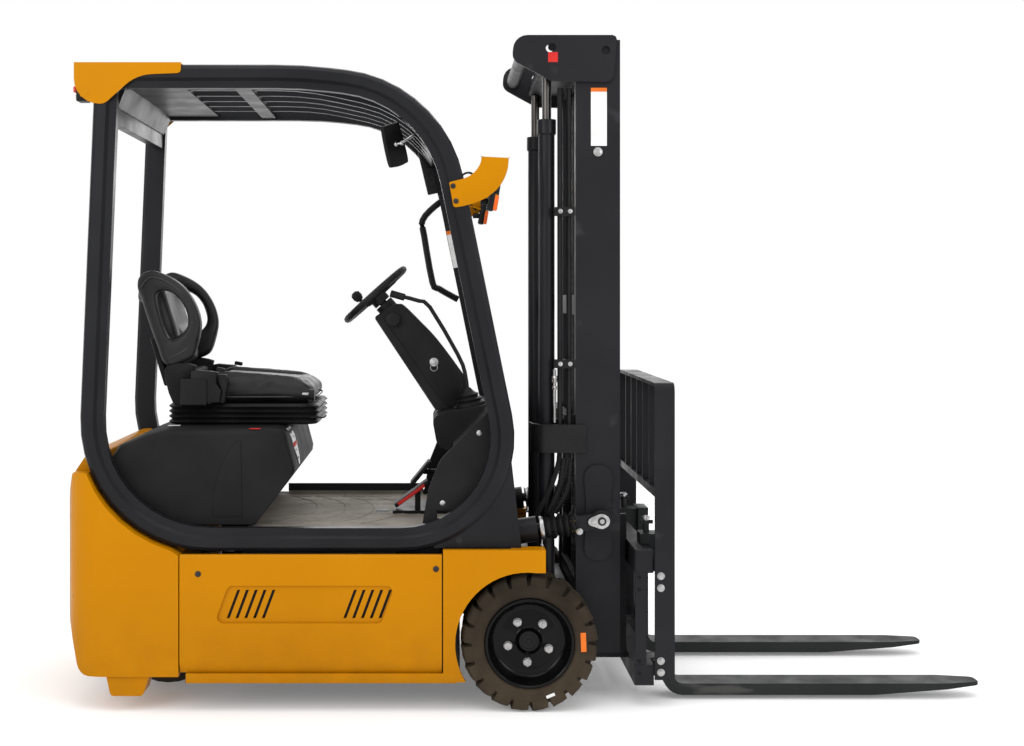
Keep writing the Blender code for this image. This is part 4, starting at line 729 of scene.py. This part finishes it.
def buildBackrest(look):
    shape = bmesh.new()
    lean = Matrix.Rotation(look["lean"], 4, "Y")
    addBlock(shape, (-1.336, -0.182, 1.128), (-1.262, 0.182, 1.478), 0.026, lean)
    addBlock(shape, (-1.296, -0.140, 1.150), (-1.226, 0.140, 1.290), 0.030, lean)
    near, far = look["wing"]
    for sign in (-1, 1):
        addPlate(shape, contour(wingEdge), sign * near, sign * far, contour(wingHole), 0.013)
        for x, z in ((-1.340, 1.445), (-1.352, 1.400), (-1.262, 1.180)):
            addBlock(shape, (x - 0.024, sign * 0.180 - 0.024, z - 0.024),
                     (x + 0.024, sign * 0.180 + 0.024, z + 0.024), 0.012)
    finishPad("seatBackPad", swollen(shape, look), "seat_backrest")
    cord = bmesh.new()
    for sign in (-1, 1):
        addTube(cord, [(x, sign * (far - 0.0010), z) for x, z in wingSeam], 0.0030)
    addPiece("seatBackCord", cord, "seatCord", "hood")
    shell = bmesh.new()
    pillar = [(-1.2790, 1.1300), (-1.2350, 1.1580), (-1.1740, 1.1500), (-1.1720, 1.1300),
              (-1.2010, 1.0180), (-1.2500, 1.0180)]
    for sign in (-1, 1):
        addPlate(shell, contour(pillar, 3), sign * 0.196, sign * 0.2340, None, 0.006)
    addBlock(shell, (-1.3180, -0.165, 1.070), (-1.2960, 0.165, 1.250), 0.006, lean)
    addBlock(shell, (-1.2600, -0.200, 1.040), (-1.1850, 0.200, 1.130), 0.010)
    addPiece("seatBackShell", shell, "hoodPlastic", "hood")


buildBackrest(backrest)
print("seat done")

# Seat belts, bolts and levers
belt = {
    "box": [(-1.1780, 1.1300), (-1.1560, 1.1340), (-1.0930, 1.1290), (-1.0850, 1.1240),
            (-1.0900, 1.0900), (-1.0720, 1.0620), (-1.0780, 1.0200), (-1.1500, 1.0180),
            (-1.1808, 1.0560)],
    "guide": [(-1.0930, 1.1180), (-1.0560, 1.1180), (-1.0480, 1.0980), (-1.0560, 1.0600),
              (-1.0620, 1.0180), (-1.0790, 1.0180), (-1.0720, 1.0600), (-1.0840, 1.1000)],
    "boxFaces": (0.2360, 0.2760), "guideFaces": (0.2290, 0.2620), "bolt": (-1.1360, 1.0330),
    "tongueY": 0.246, "tongueTilt": radians(10),
}


def buildBelts(look):
    boxes, bolts = bmesh.new(), bmesh.new()
    tilt = Matrix.Rotation(look["tongueTilt"], 4, "Y")
    for sign in (-1, 1):
        near, far = look["boxFaces"]
        addPlate(boxes, look["box"], sign * near, sign * far, None, 0.004, 2)
        near, far = look["guideFaces"]
        addPlate(boxes, look["guide"], sign * near, sign * far, None, 0.003, 2)
        y = sign * look["tongueY"]
        addBlock(boxes, (-1.0920, y - 0.010, 1.128), (-1.0620, y + 0.010, 1.142), 0.003, tilt)
        x, z = look["bolt"]
        addHexHead(bolts, (x, sign * 0.2758, z), (0, sign, 0), 0.013, 0.004)
    addPiece("seatBeltBoxes", boxes, "trimPlastic", "hood")
    return bolts


weightKnob = {"y": -0.2440, "z": 1.0480, "root": -0.7880, "neck": -0.7640, "tip": -0.7440}


def buildSeatControls(look, bolts):
    y, z, neck = look["y"], look["z"], look["neck"]
    addRod(bolts, (look["root"], y, z), (neck, y, z), 0.0055, segments=16, edge=0.001)
    addPiece("seatBolts", bolts, "boltSteel", "hood")
    knob = bmesh.new()
    addRod(knob, (neck, y, 1.0460), (look["tip"], y, 1.0460), 0.0190, segments=14, edge=0.0015)
    addBlock(knob, (-0.7660, -0.2520, 1.0180), (-0.7450, -0.2320, 1.0320), 0.003)
    addPiece("seatKnob", knob, "trimPlastic", "hood")
    lever = bmesh.new()
    addTube(lever, [(-0.800, -0.236, 0.966), (-0.760, -0.238, 0.966), (-0.722, -0.238, 0.964),
                    (-0.706, -0.238, 0.966), (-0.7035, -0.238, 0.974)], 0.0026)
    addPiece("seatSlideLever", lever, "trimPlastic", "hood")


buildSeatControls(weightKnob, buildBelts(belt))
print("seat fittings done")

hood = {
    "band": [(-0.9832, 0.9020), (-1.0100, 0.8860), (-1.0520, 0.8132), (-1.0760, 0.7216),
             (-1.0800, 0.6400), (-0.9766, 0.6400)],
    "bandFaces": (0.4230, 0.4278),
    "latchY": -0.235,
    "latchRows": ((0.9300, 0.050), (0.9000, 0.060), (0.8600, 0.055), (0.8250, 0.035),
                  (0.8000, 0.016)),  # height and half width
    "latchHoles": ((-0.255, 0.915), (-0.225, 0.895), (-0.250, 0.850), (-0.238, 0.822)),
    "front": -0.55,
}


def faceHit(node, origin, direction):  # where a straight line first meets a node
    turn = node.matrix_world.inverted()
    start = turn @ Vector(origin)
    end = turn @ (Vector(origin) + Vector(direction))
    at = node.ray_cast(start, (end - start).normalized())[1]
    return node.matrix_world @ at


def buildHoodReliefs(look):
    relief = bmesh.new()
    near, far = look["bandFaces"]
    for sign in (-1, 1):
        addPlate(relief, look["band"], sign * near, sign * far, None, 0.0022, 2)
    addPiece("hoodReliefs", relief, "hoodPlastic", "hood")


def buildHoodLatch(look):
    hoodNode = nodes["battery_hood"]

    def onFront(y, z):
        return faceHit(hoodNode, (look["front"], y, z), (-1, 0, 0))

    plate = bmesh.new()
    proud = Vector((0.0010, 0, 0))
    rungs = [[plate.verts.new(onFront(look["latchY"] + side * half, z) + proud)
              for side in (-1, 1)] for z, half in look["latchRows"]]
    for upper, lower in zip(rungs, rungs[1:]):
        bmesh.ops.contextual_create(plate, geom=upper + lower[::-1])
    bmesh.ops.recalc_face_normals(plate, faces=plate.faces)
    if sum(face.normal.x for face in plate.faces) < 0:
        bmesh.ops.reverse_faces(plate, faces=plate.faces)
    bmesh.ops.solidify(plate, geom=list(plate.faces), thickness=-0.0025)
    addPiece("hoodLatchPlate", plate, "boltSteel", "hood", turned=True)
    # dark discs on the latch plate for its holes: painted shade inside the holes
    holeShades = bmesh.new()
    for y, z in look["latchHoles"]:
        at = onFront(y, z)
        addRod(holeShades, at + Vector((0.002, 0, 0)), at + Vector((0.0042, 0, 0)), 0.0052,
               segments=18)
    addPiece("hoodLatchHoleShade", holeShades, "boltBlack", "hood")
    tab = bmesh.new()
    at = onFront(-0.225, 0.872)
    addBlock(tab, (at.x, -0.290, at.z - 0.007), (at.x + 0.007, -0.180, at.z + 0.007), 0.002)
    addPiece("hoodLatchTab", tab, "labelRed", "hood")
    mark = bmesh.new()
    top = faceHit(hoodNode, (-0.936, -0.405, 1.10), (0, 0, -1))
    addBlock(mark, (-0.955, -0.412, top.z - 0.0004), (-0.917, -0.396, top.z + 0.0020), 0.0006)
    addPiece("hoodMark", mark, "labelRed", "hood")


buildHoodReliefs(hood)
buildHoodLatch(hood)
print("hood details done")

lowerSides = {"sillX": (-1.1540, -0.2440), "sillY": 0.5160, "sillHalf": 0.0146,
              "sillZ": (0.0972, 0.1292), "archShadeX": (-0.2870, -0.2330),
              "archShadeZ": (0.1200, 0.5000), "archShadeY": 0.410, "gussetHole": (-0.2366, 0.5700)}


def buildSillsAndArchShade(look):
    sill, archShade = bmesh.new(), bmesh.new()
    for sign in (-1, 1):
        y, half = sign * look["sillY"], look["sillHalf"]
        addBlock(sill, (look["sillX"][0], y - half, look["sillZ"][0]),
                 (look["sillX"][1], y + half, look["sillZ"][1]), 0.0012)
        # black blocks behind the front tyres fill the gap between fender and tyre: painted shade
        # in the wheel arch
        y = sign * look["archShadeY"]
        addBlock(archShade, (look["archShadeX"][0], y - 0.040, look["archShadeZ"][0]),
                 (look["archShadeX"][1], y + 0.040, look["archShadeZ"][1]), 0.004)
        # a black disc for the gusset hole: painted shade inside the hole
        x, z = look["gussetHole"]
        addRod(archShade, (x, sign * 0.4842, z), (x, sign * 0.4858, z), 0.0110, segments=24)
    addPiece("sillCovers", sill, "yellowPaint", "chassis")
    addPiece("archGapShade", archShade, "boltBlack", "chassis")


# Screws: finish, slot, then rows of places (x, z), face y and radius
screwSets = {
    "panelScrews": ("boltBlack", "black_plastic", (
        (((-1.1125, 0.4637), (-0.3145, 0.4805)), 0.5298, 0.010),
        (((-0.257, 1.767), (-0.247, 1.716)), 0.4990, 0.009))),
    "dashScrews": ("boltSteel", "steel", (
        (((-0.167, 0.9275), (-0.292, 0.688)), 0.4318, 0.0095),)),
}


def buildScrews(sets):
    for name, (finish, slot, rows) in sets.items():
        screws = bmesh.new()
        for places, face, radius in rows:
            for x, z in places:
                for sign in (-1, 1):
                    addDome(screws, (x, sign * face, z), (0, sign, 0), radius, 0.005)
        addPiece(name, screws, finish, "chassis")


buildSillsAndArchShade(lowerSides)
buildScrews(screwSets)

# Lamps on the guard
lamps = {
    "bracketEdge": [
        (-0.1610, 1.8669), (-0.1605, 1.8669), (-0.0695, 1.8622), (-0.0690, 1.8617),
        (-0.0723, 1.8249), (-0.0884, 1.7830), (-0.1142, 1.7507), (-0.1497, 1.7248),
        (-0.1982, 1.7055), (-0.2430, 1.6960), (-0.2530, 1.6980), (-0.2570, 1.7060),
        (-0.2690, 1.7720), (-0.2690, 1.7770), (-0.2640, 1.7815), (-0.2208, 1.7926),
        (-0.1949, 1.8056), (-0.1756, 1.8249), (-0.1635, 1.8475)],
    "bracketFaces": (0.4956, 0.4996), "shelfTilt": 0.30, "lean": radians(10),
    "frontY": 0.474, "rearY": 0.452,
    "cable": [(-0.2350, 0.4850, 1.7950), (-0.2200, 0.4860, 1.8120), (-0.1950, 0.4820, 1.8140),
              (-0.1830, 0.4700, 1.8000), (-0.1820, 0.4620, 1.7700), (-0.1500, 0.4640, 1.7400)],
    "cableRadius": 0.0036,
}


def buildFrontLamps(look):
    brackets, lenses, housings = bmesh.new(), bmesh.new(), bmesh.new()
    shelf, lean = (Matrix.Rotation(look[key], 4, "Y") for key in ("shelfTilt", "lean"))
    for sign in (-1, 1):
        near, far = look["bracketFaces"]
        y, rearY = sign * look["frontY"], sign * look["rearY"]
        addPlate(brackets, contour(look["bracketEdge"]), sign * near, sign * far, None, 0.0008, 2)
        addBlock(brackets, (-0.1750, y - 0.0240, 1.7440), (-0.1050, y + 0.0240, 1.7480), 0.0008,
                 shelf, 1)
        addBlock(lenses, (-0.1255, y - 0.024, 1.6850), (-0.1045, y + 0.024, 1.7370), 0.004, lean)
        addBlock(housings, (-0.1390, y - 0.0255, 1.6840), (-0.1160, y + 0.0240, 1.7480), 0.005,
                 lean)
        addBlock(housings, (-0.1330, y - 0.0200, 1.7300), (-0.0990, y + 0.0200, 1.7760), 0.004,
                 lean)
        addRod(housings, (-0.1640, sign * 0.462, 1.7180), (-0.1380, sign * 0.462, 1.7180),
               0.0100, edge=0.001)
        addTube(housings, [(x, sign * away, z) for x, away, z in look["cable"]],
                look["cableRadius"])
        addRod(housings, (-0.2380, sign * 0.4860, 1.7930), (-0.2330, sign * 0.4865, 1.7960),
               0.0085, edge=0.001)
        addBlock(housings, (-1.5340, rearY - 0.030, 2.056), (-1.4960, rearY + 0.030, 2.110),
                 0.005)
    piece = addPiece("frontLampBrackets", brackets, "yellowPaint", "chassis")
    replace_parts(piece, "right_front_light", "left_front_light")
    addPiece("frontLampLenses", lenses, "amberLens", "chassis")
    addPiece("lampHousings", housings, "trimPlastic", "chassis")


def buildRearLamps(look):
    red, pale = bmesh.new(), bmesh.new()
    for sign in (-1, 1):
        y = sign * look["rearY"]
        addBlock(red, (-1.5440, y - 0.026, 2.086), (-1.5330, y + 0.026, 2.107), 0.003)
        addRod(pale, (-1.5335, y, 2.070), (-1.5420, y, 2.070), 0.012, tip=0.010, segments=24,
               edge=0.001)
    addPiece("rearLampLenses", red, "redLens", "chassis")
    addPiece("rearReverseLenses", pale, "paleLens", "chassis")


buildFrontLamps(lamps)
buildRearLamps(lamps)
print("lamps done")

# Steering column: shell, shaft and clamp knob
column = {
    "edge": [(-0.5130, 1.3140), (-0.5060, 1.3430), (-0.4860, 1.3580), (-0.4514, 1.3670),
             (-0.4290, 1.3590), (-0.3700, 1.3010), (-0.3099, 1.2375), (-0.2277, 1.1279),
             (-0.2080, 1.0900), (-0.2100, 1.0000), (-0.2400, 0.9900), (-0.2870, 0.9950),
             (-0.4000, 1.1550)],
    "half": 0.0570, "padHalf": 0.0585, "padShrink": 0.86, "padShift": (-0.0500, 0.1640),
    "shaftTop": (-0.5240, 0, 1.3865), "collarTop": (-0.4990, 0, 1.3588),
    "shaftFoot": (-0.4760, 0, 1.3330), "knob": (-0.4700, 1.3110),
}


def buildColumn(look):
    shell = bmesh.new()
    half, padHalf, shrink = look["half"], look["padHalf"], look["padShrink"]
    addPlate(shell, contour(look["edge"], 3), -half, half, None, 0.010)
    pad = [Vector((x * shrink + look["padShift"][0], z * shrink + look["padShift"][1]))
           for x, z in look["edge"]]
    addPlate(shell, contour(pad, 3), -padHalf, padHalf, None, 0.0020, 2)
    addPiece("columnShell", shell, "hoodPlastic", "chassis")
    shaft = bmesh.new()
    addRod(shaft, look["shaftTop"], look["shaftFoot"], 0.0150, segments=28)
    addRod(shaft, look["collarTop"], look["shaftFoot"], 0.0300, tip=0.0340, segments=32,
           edge=0.002)
    x, z = look["knob"]
    addRod(shaft, (x, -0.0560, z), (x, -0.0690, z), 0.0160, segments=24)
    addRod(shaft, (x, -0.0680, z), (x, -0.0860, z), 0.0260, segments=9, edge=0.003)
    addPiece("columnShaftAndKnob", shaft, "trimPlastic", "chassis")


buildColumn(column)

# Pillar module, mirror, key and mat
module = {"low": (-0.3675, 0.393, 1.800), "high": (-0.3270, 0.437, 1.996),
          "lean": radians(-13.4), "middle": (-0.340, 1.898), "along": (-0.232, 0.973),
          "keys": (-0.055, 0.0, 0.055)}


def buildModule(look):
    shape = bmesh.new()
    lean = Matrix.Rotation(look["lean"], 4, "Y")
    addBlock(shape, look["low"], look["high"], 0.005, lean)
    for step in look["keys"]:
        x, z = (m + step * a for m, a in zip(look["middle"], look["along"]))
        addBlock(shape, (x - 0.0100, 0.3895, z - 0.010), (x + 0.0100, 0.3940, z + 0.010),
                 0.0015, lean)
    addPiece("pillarModule", shape, "trimPlastic", "chassis")


buildModule(module)
mirror = {"centre": (-0.460, -0.294, 1.926), "yaw": -0.84, "roll": 0.30, "wide": 0.044,
              "tall": 0.074}


def buildMirror(look):
    place = Matrix.Translation(look["centre"]) @ Matrix.Rotation(look["yaw"], 4, "Z")
    place = place @ Matrix.Rotation(look["roll"], 4, "X")
    wide, tall = look["wide"], look["tall"]
    face = contour([(-tall, -wide + 0.018), (-tall + 0.018, -wide), (tall - 0.012, -wide + 0.004),
                    (tall, -wide + 0.016), (tall, wide - 0.016), (tall - 0.012, wide - 0.004),
                    (-tall + 0.018, wide), (-tall, wide - 0.018)], 5)
    # an outline (x, z) with y as its depth, stood up as a face (y, z) with x as its depth
    across = Matrix(((0, 1, 0, 0), (0, 0, 1, 0), (1, 0, 0, 0), (0, 0, 0, 1)))
    case = bmesh.new()
    addPlate(case, face, -0.010, 0.008, None, 0.005)
    case.transform(place @ across)
    addPiece("mirrorCase", case, "trimPlastic", "chassis")
    glass = bmesh.new()
    inner = [Vector((p[0] * 0.90, p[1] * 0.86)) for p in face]
    addPlate(glass, inner, -0.0106, -0.0098, None, 0.0003, 1)
    glass.transform(place @ across)
    addPiece("mirrorGlass", glass, "mirrorFace", "chassis")
    arm = bmesh.new()
    x, y, z = look["centre"]
    addTube(arm, [(x + 0.006, y - 0.004, z + 0.002), (-0.434, y - 0.012, 1.932),
                  (-0.4050, y - 0.004, 1.9520), (-0.3915, y, 1.9615)], 0.0048)
    addRod(arm, (-0.4390, y - 0.010, 1.9290), (-0.4310, y - 0.012, 1.9340), 0.0085, segments=18,
           edge=0.001)
    addRod(arm, (x + 0.002, y - 0.002, z), (x + 0.010, y - 0.006, z + 0.005), 0.0100,
           segments=18, edge=0.001)
    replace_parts(addPiece("mirrorArm", arm, "boltSteel", "chassis"), "rear_view_mirror")


buildMirror(mirror)
keySwitch = {"x": -0.3207, "z": 1.1536, "face": -0.0548, "collar": -0.0600, "end": -0.0660,
             "ringZ": 1.134, "ringRadius": 0.014}


def buildKeySwitch(look):
    shape = bmesh.new()
    x, z, collar, end = look["x"], look["z"], look["collar"], look["end"]
    addRod(shape, (x, look["face"], z), (x, collar, z), 0.016, segments=28, edge=0.001)
    addRod(shape, (x, collar, z), (x, end, z), 0.008, edge=0.001)
    ring = look["ringRadius"]
    addTube(shape, [(x + ring * cos(k * pi / 4), -0.0680, look["ringZ"] + ring * sin(k * pi / 4))
                    for k in range(8)], 0.0012, True)
    addBlock(shape, (-0.3250, -0.0720, 1.1480), (-0.3164, end, 1.1592), 0.001)
    addPiece("keySwitch", shape, "boltSteel", "chassis")


buildKeySwitch(keySwitch)
pedal = {"low": (-0.4620, -0.118, 0.6680), "high": (-0.3440, -0.114, 0.6800),
         "slope": radians(-36)}
pedalShape = bmesh.new()
addBlock(pedalShape, pedal["low"], pedal["high"], 0.001, Matrix.Rotation(pedal["slope"], 4, "Y"))
addPiece("pedalEdge", pedalShape, "labelRed", "chassis")

mat = {"top": 0.6062, "rib": 0.0026, "arcs": 6, "spacing": 0.105, "start": -0.800}


def buildMatRibs(look):
    ribs = bmesh.new()
    for k in range(look["arcs"]):
        x = look["start"] + look["spacing"] * k
        reach = 0.36 if x < -0.42 else 0.21
        addTube(ribs, [(x - 0.085, -reach, look["top"]), (x - 0.010, -reach * 0.72, look["top"]),
                       (x + 0.045, -reach * 0.30, look["top"]), (x + 0.045, reach * 0.30,
                                                                 look["top"]),
                       (x - 0.010, reach * 0.72, look["top"]), (x - 0.085, reach, look["top"])],
                look["rib"], resolution=2)
        for sign in (-1, 1):
            for row in (0.34, 0.66, 0.92):
                y = sign * reach * row
                back = x - 0.085 * row ** 2
                addTube(ribs, [(back - 0.020, y, look["top"]), (back + 0.030, y + sign * 0.016,
                                                                 look["top"]),
                               (back + 0.070, y, look["top"])], look["rib"] * 0.8,
                        resolution=1, smooth=False)
    addPiece("matRibs", ribs, "matRubber", "chassis")
    strip = bmesh.new()
    addBlock(strip, (-0.9006, 0.4234, 0.6200), (-0.3634, 0.4346, 0.6486), 0.0006, None, 1)
    addPiece("kickStrips", strip, "framePaint", "chassis")
    pad = bmesh.new()
    addBlock(pad, (-0.5350, -0.060, 0.6055), (-0.4850, 0.010, 0.6085), 0.0012)
    addPiece("matPad", pad, "trimPlastic", "chassis")


buildMatRibs(mat)
print("cab details done")

postLabel = {"middle": (-0.2441, 0.4390, 1.5834), "lean": radians(-11.3), "wide": 0.0128,
             "tall": 0.075, "band": 0.060}


def buildPostLabel(look):
    place = Matrix.Translation(look["middle"]) @ Matrix.Rotation(look["lean"], 4, "Y")
    for name, finish, low, high in (("postLabel", "labelWhite", -look["tall"], look["band"]),
                                    ("postLabelBand", "labelOrange", look["band"],
                                     look["tall"])):
        shape = bmesh.new()
        addBlock(shape, (-look["wide"], -0.0005, low), (look["wide"], 0.0006, high), 0.0002,
                 None, 1)
        shape.transform(place)
        addPiece(name, shape, finish, "chassis")


buildPostLabel(postLabel)

# Chains, bolts and hoses on the mast
chain = {"pitch": 0.0159, "link": 0.0085, "half": 0.0055, "y": 0.105, "wide": (0.008, 0.011),
         "runs": ((0.2920, 0.640, 2.165), (0.2060, 0.420, 2.165))}  # x, foot and top


def buildChains(look):
    links = bmesh.new()
    link, half = look["link"], look["half"]
    for sign in (-1, 1):
        y = sign * look["y"]
        for x, low, high in look["runs"]:
            for k in range(int((high - low) / look["pitch"])):
                z, wide = low + look["pitch"] * k, look["wide"][k % 2]
                addBlock(links, (x - half, y - wide, z - link), (x + half, y + wide, z + link),
                         0.0016, None, 1)
    addPiece("liftChains", links, "chainSteel", "mast_stage")


mastBolt = {"railX": 0.248, "railZ": 1.896, "clampX": (0.118, 0.152), "clampZ": (1.160, 1.690),
            "hole": (0.0875, 2.2580), "holeRadius": 0.0140}


def buildMastBolts(look):
    bolts, holeShades = bmesh.new(), bmesh.new()
    for sign in (-1, 1):
        addHexHead(bolts, (look["railX"], sign * 0.3555, look["railZ"]), (0, sign, 0), 0.022)
        if sign < 0:
            for z in look["clampZ"]:
                for x in look["clampX"]:
                    addHexHead(bolts, (x, -0.3545, z), (0, -1, 0), 0.011, 0.005)
        # dark discs for the holes in the mast head: painted shade inside the holes
        x, z = look["hole"]
        addRod(holeShades, (x, sign * 0.3676, z), (x, sign * 0.3683, z), look["holeRadius"],
               segments=32)
    addPiece("mastBolts", bolts, "boltSteel", "mast")
    addPiece("headHoleShade", holeShades, "rimGloss", "mast")


buildChains(chain)
buildMastBolts(mastBolt)

tilt = {"rear": (-0.2500, 0.5570), "eye": (0.2535, 0.6253), "y": 0.400, "start": 0.294,
        "folds": 5, "pitch": 0.0215, "crest": 0.0430, "root": 0.0315}
lockOutline = [(0.2060, 0.6235), (0.2120, 0.6120), (0.2300, 0.6060), (0.2535, 0.5990),
               (0.2740, 0.6090), (0.2805, 0.6253), (0.2740, 0.6410), (0.2535, 0.6510),
               (0.2300, 0.6440), (0.2120, 0.6350)]


def buildTiltTrims(look):
    slope = (look["eye"][1] - look["rear"][1]) / (look["eye"][0] - look["rear"][0])
    for sign, side in ((-1, "right"), (1, "left")):
        y = sign * look["y"]

        def spot(along):
            return Vector((look["rear"][0] + along, y, look["rear"][1] + along * slope))

        line = (1, 0, slope)
        profile = [(0.0255, 0.0), (look["crest"] - 0.004, 0.0), (look["crest"] - 0.004, 0.016)]
        for fold in range(look["folds"]):
            at = 0.018 + fold * look["pitch"]
            tall = look["crest"] if fold else look["root"] + 0.007
            profile += [(look["root"], at), (tall - 0.002, at + look["pitch"] * 0.34),
                        (tall, at + look["pitch"] * 0.50),
                        (tall - 0.002, at + look["pitch"] * 0.66)]
        end = 0.018 + look["folds"] * look["pitch"]
        profile += [(look["root"] - 0.002, end), (look["root"] - 0.002, end + 0.008),
                    (0.0255, end + 0.008)]
        boot = bmesh.new()
        addSpun(boot, profile, spot(look["start"] - 0.002), line, 40)
        piece = addPiece(side + "TiltBellows", boot, "trimPlastic", side + "_tilt_piston")
        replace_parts(piece, side + "_tilt_boot")
        clamp = bmesh.new()
        addRod(clamp, spot(look["start"] - 0.001), spot(look["start"] + 0.012), 0.0410,
               segments=40, edge=0.0012)
        addRod(clamp, spot(look["start"] + 0.006) + Vector((0, 0, -0.040)),
               spot(look["start"] + 0.006) + Vector((0, 0, -0.062)), 0.0035, segments=12)
        addRod(clamp, spot(look["start"] + 0.006) + Vector((0, 0, -0.056)),
               spot(look["start"] + 0.006) + Vector((0, 0, -0.062)), 0.0062, segments=6,
               edge=0.0006)
        addPiece(side + "BootClamp", clamp, "boltSteel", side + "_tilt_piston")
        brass = bmesh.new()
        for x, z in ((0.156, 0.626), (0.162, 0.592)):
            addRod(brass, (x - 0.008, sign * 0.4280, z), (x, sign * 0.4320, z), 0.0048,
                   segments=12)
            addRod(brass, (x, sign * 0.4300, z), (x + 0.004, sign * 0.4340, z), 0.0030,
                   segments=10)
        addPiece(side + "GreaseFittings", brass, "brassFitting", side + "_tilt_piston")
        screw = bmesh.new()
        addHexHead(screw, (0.1780, sign * 0.4225, 0.5890), (0, sign, 0), 0.016, 0.008)
        addPiece(side + "TangScrew", screw, "boltSteel", side + "_tilt_piston")


buildTiltTrims(tilt)


def buildPinPlates(pin):
    plates, rings = bmesh.new(), bmesh.new()
    x, z = pin
    for sign in (-1, 1):
        addPlate(plates, contour(lockOutline), sign * 0.4302, sign * 0.4345, None, 0.0008, 2)
        addRod(plates, (x, sign * 0.4340, z), (x, sign * 0.4400, z), 0.0085, segments=28,
               edge=0.0015)
        addHexHead(plates, (0.2235, sign * 0.4345, 0.6235), (0, sign, 0), 0.012, 0.004)
        addRod(rings, (x, sign * 0.4340, z), (x, sign * 0.4362, z), 0.0150, segments=32,
               edge=0.0008)
    addPiece("tiltPinPlates", plates, "boltSteel", "mast")
    addPiece("tiltPinRings", rings, "boltBlack", "mast")


buildPinPlates(tilt["eye"])

hose = {
    "runs": [[(0.1307, 0.8300), (0.1230, 0.7490), (0.1035, 0.6945), (0.0763, 0.6401)],
             [(0.1564, 0.8300), (0.1517, 0.7490), (0.1346, 0.6945), (0.0996, 0.6401)]],
    "y": -0.3330, "wraps": 19, "wrapRadius": 0.0125, "radius": 0.0100,
    "steelX": 0.099, "steelY": -0.3335, "steelRadius": 0.0062,
    "nuts": ((1.095, 1.118, 0.0105), (1.070, 1.082, 0.0095)),
}


def alongRun(points, t):
    spans = len(points) - 1
    index = min(int(t * spans), spans - 1)
    return Vector(points[index]).lerp(Vector(points[index + 1]), t * spans - index)


def buildHoseWraps(look):
    wraps = bmesh.new()
    y, last = look["y"], look["wraps"] + 0.5
    for run in look["runs"]:
        for k in range(look["wraps"]):
            here, ahead = alongRun(run, k / last), alongRun(run, (k + 0.5) / last)
            addRod(wraps, (here.x, y, here.y), (ahead.x, y, ahead.y), look["wrapRadius"],
                   segments=16, edge=0.0018)
        addTube(wraps, [(x, y, z) for x, z in run], look["radius"])
    addPiece("hoseWraps", wraps, "trimPlastic", "mast")


def buildSteelLine(look):
    shape = bmesh.new()
    x, y = look["steelX"], look["steelY"]
    addTube(shape, [(x, y, 1.140), (x, y, 1.060), (x, y, 0.955)], look["steelRadius"])
    for low, high, radius in look["nuts"]:
        addRod(shape, (x, y, low), (x, y, high), radius, segments=6, edge=0.001)
    addPiece("steelLine", shape, "rodChrome", "mast")


carriage = {"holeX": 0.3759, "holeZ": (0.4408, 0.3992, 0.1569, 0.1153), "holeRadius": 0.0062,
            "boltX": 0.4469, "boltZ": (0.448, 0.4076, 0.1607, 0.1218), "latch": (0.421, 0.310)}


# dark discs on the carriage plates for its holes: painted shade inside the holes
def buildCarriageHoleShade(look):
    holeShades = bmesh.new()
    x = look["holeX"]
    for z in look["holeZ"]:
        for sign in (-1, 1):
            addRod(holeShades, (x, sign * 0.4718, z), (x, sign * 0.4722, z), look["holeRadius"])
    addPiece("carriageHoleShade", holeShades, "rimGloss", "carriage")


def buildCarriageBolts(look):
    bolts = bmesh.new()
    for z in look["boltZ"]:
        for sign in (-1, 1):
            addHexHead(bolts, (look["boltX"], sign * 0.4838, z), (0, sign, 0), 0.018, 0.007)
    x, away = look["latch"]
    for y in (-away, away):
        addRod(bolts, (x, y, 0.611), (x, y, 0.620), 0.0095)
        addDome(bolts, (x, y, 0.618), (0, 0, 1), 0.015, 0.010)
    addPiece("carriageBolts", bolts, "boltSteel", "carriage")


buildHoseWraps(hose)
buildCarriageHoleShade(carriage)
buildSteelLine(hose)
buildCarriageBolts(carriage)
print("mast details done")

low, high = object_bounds()
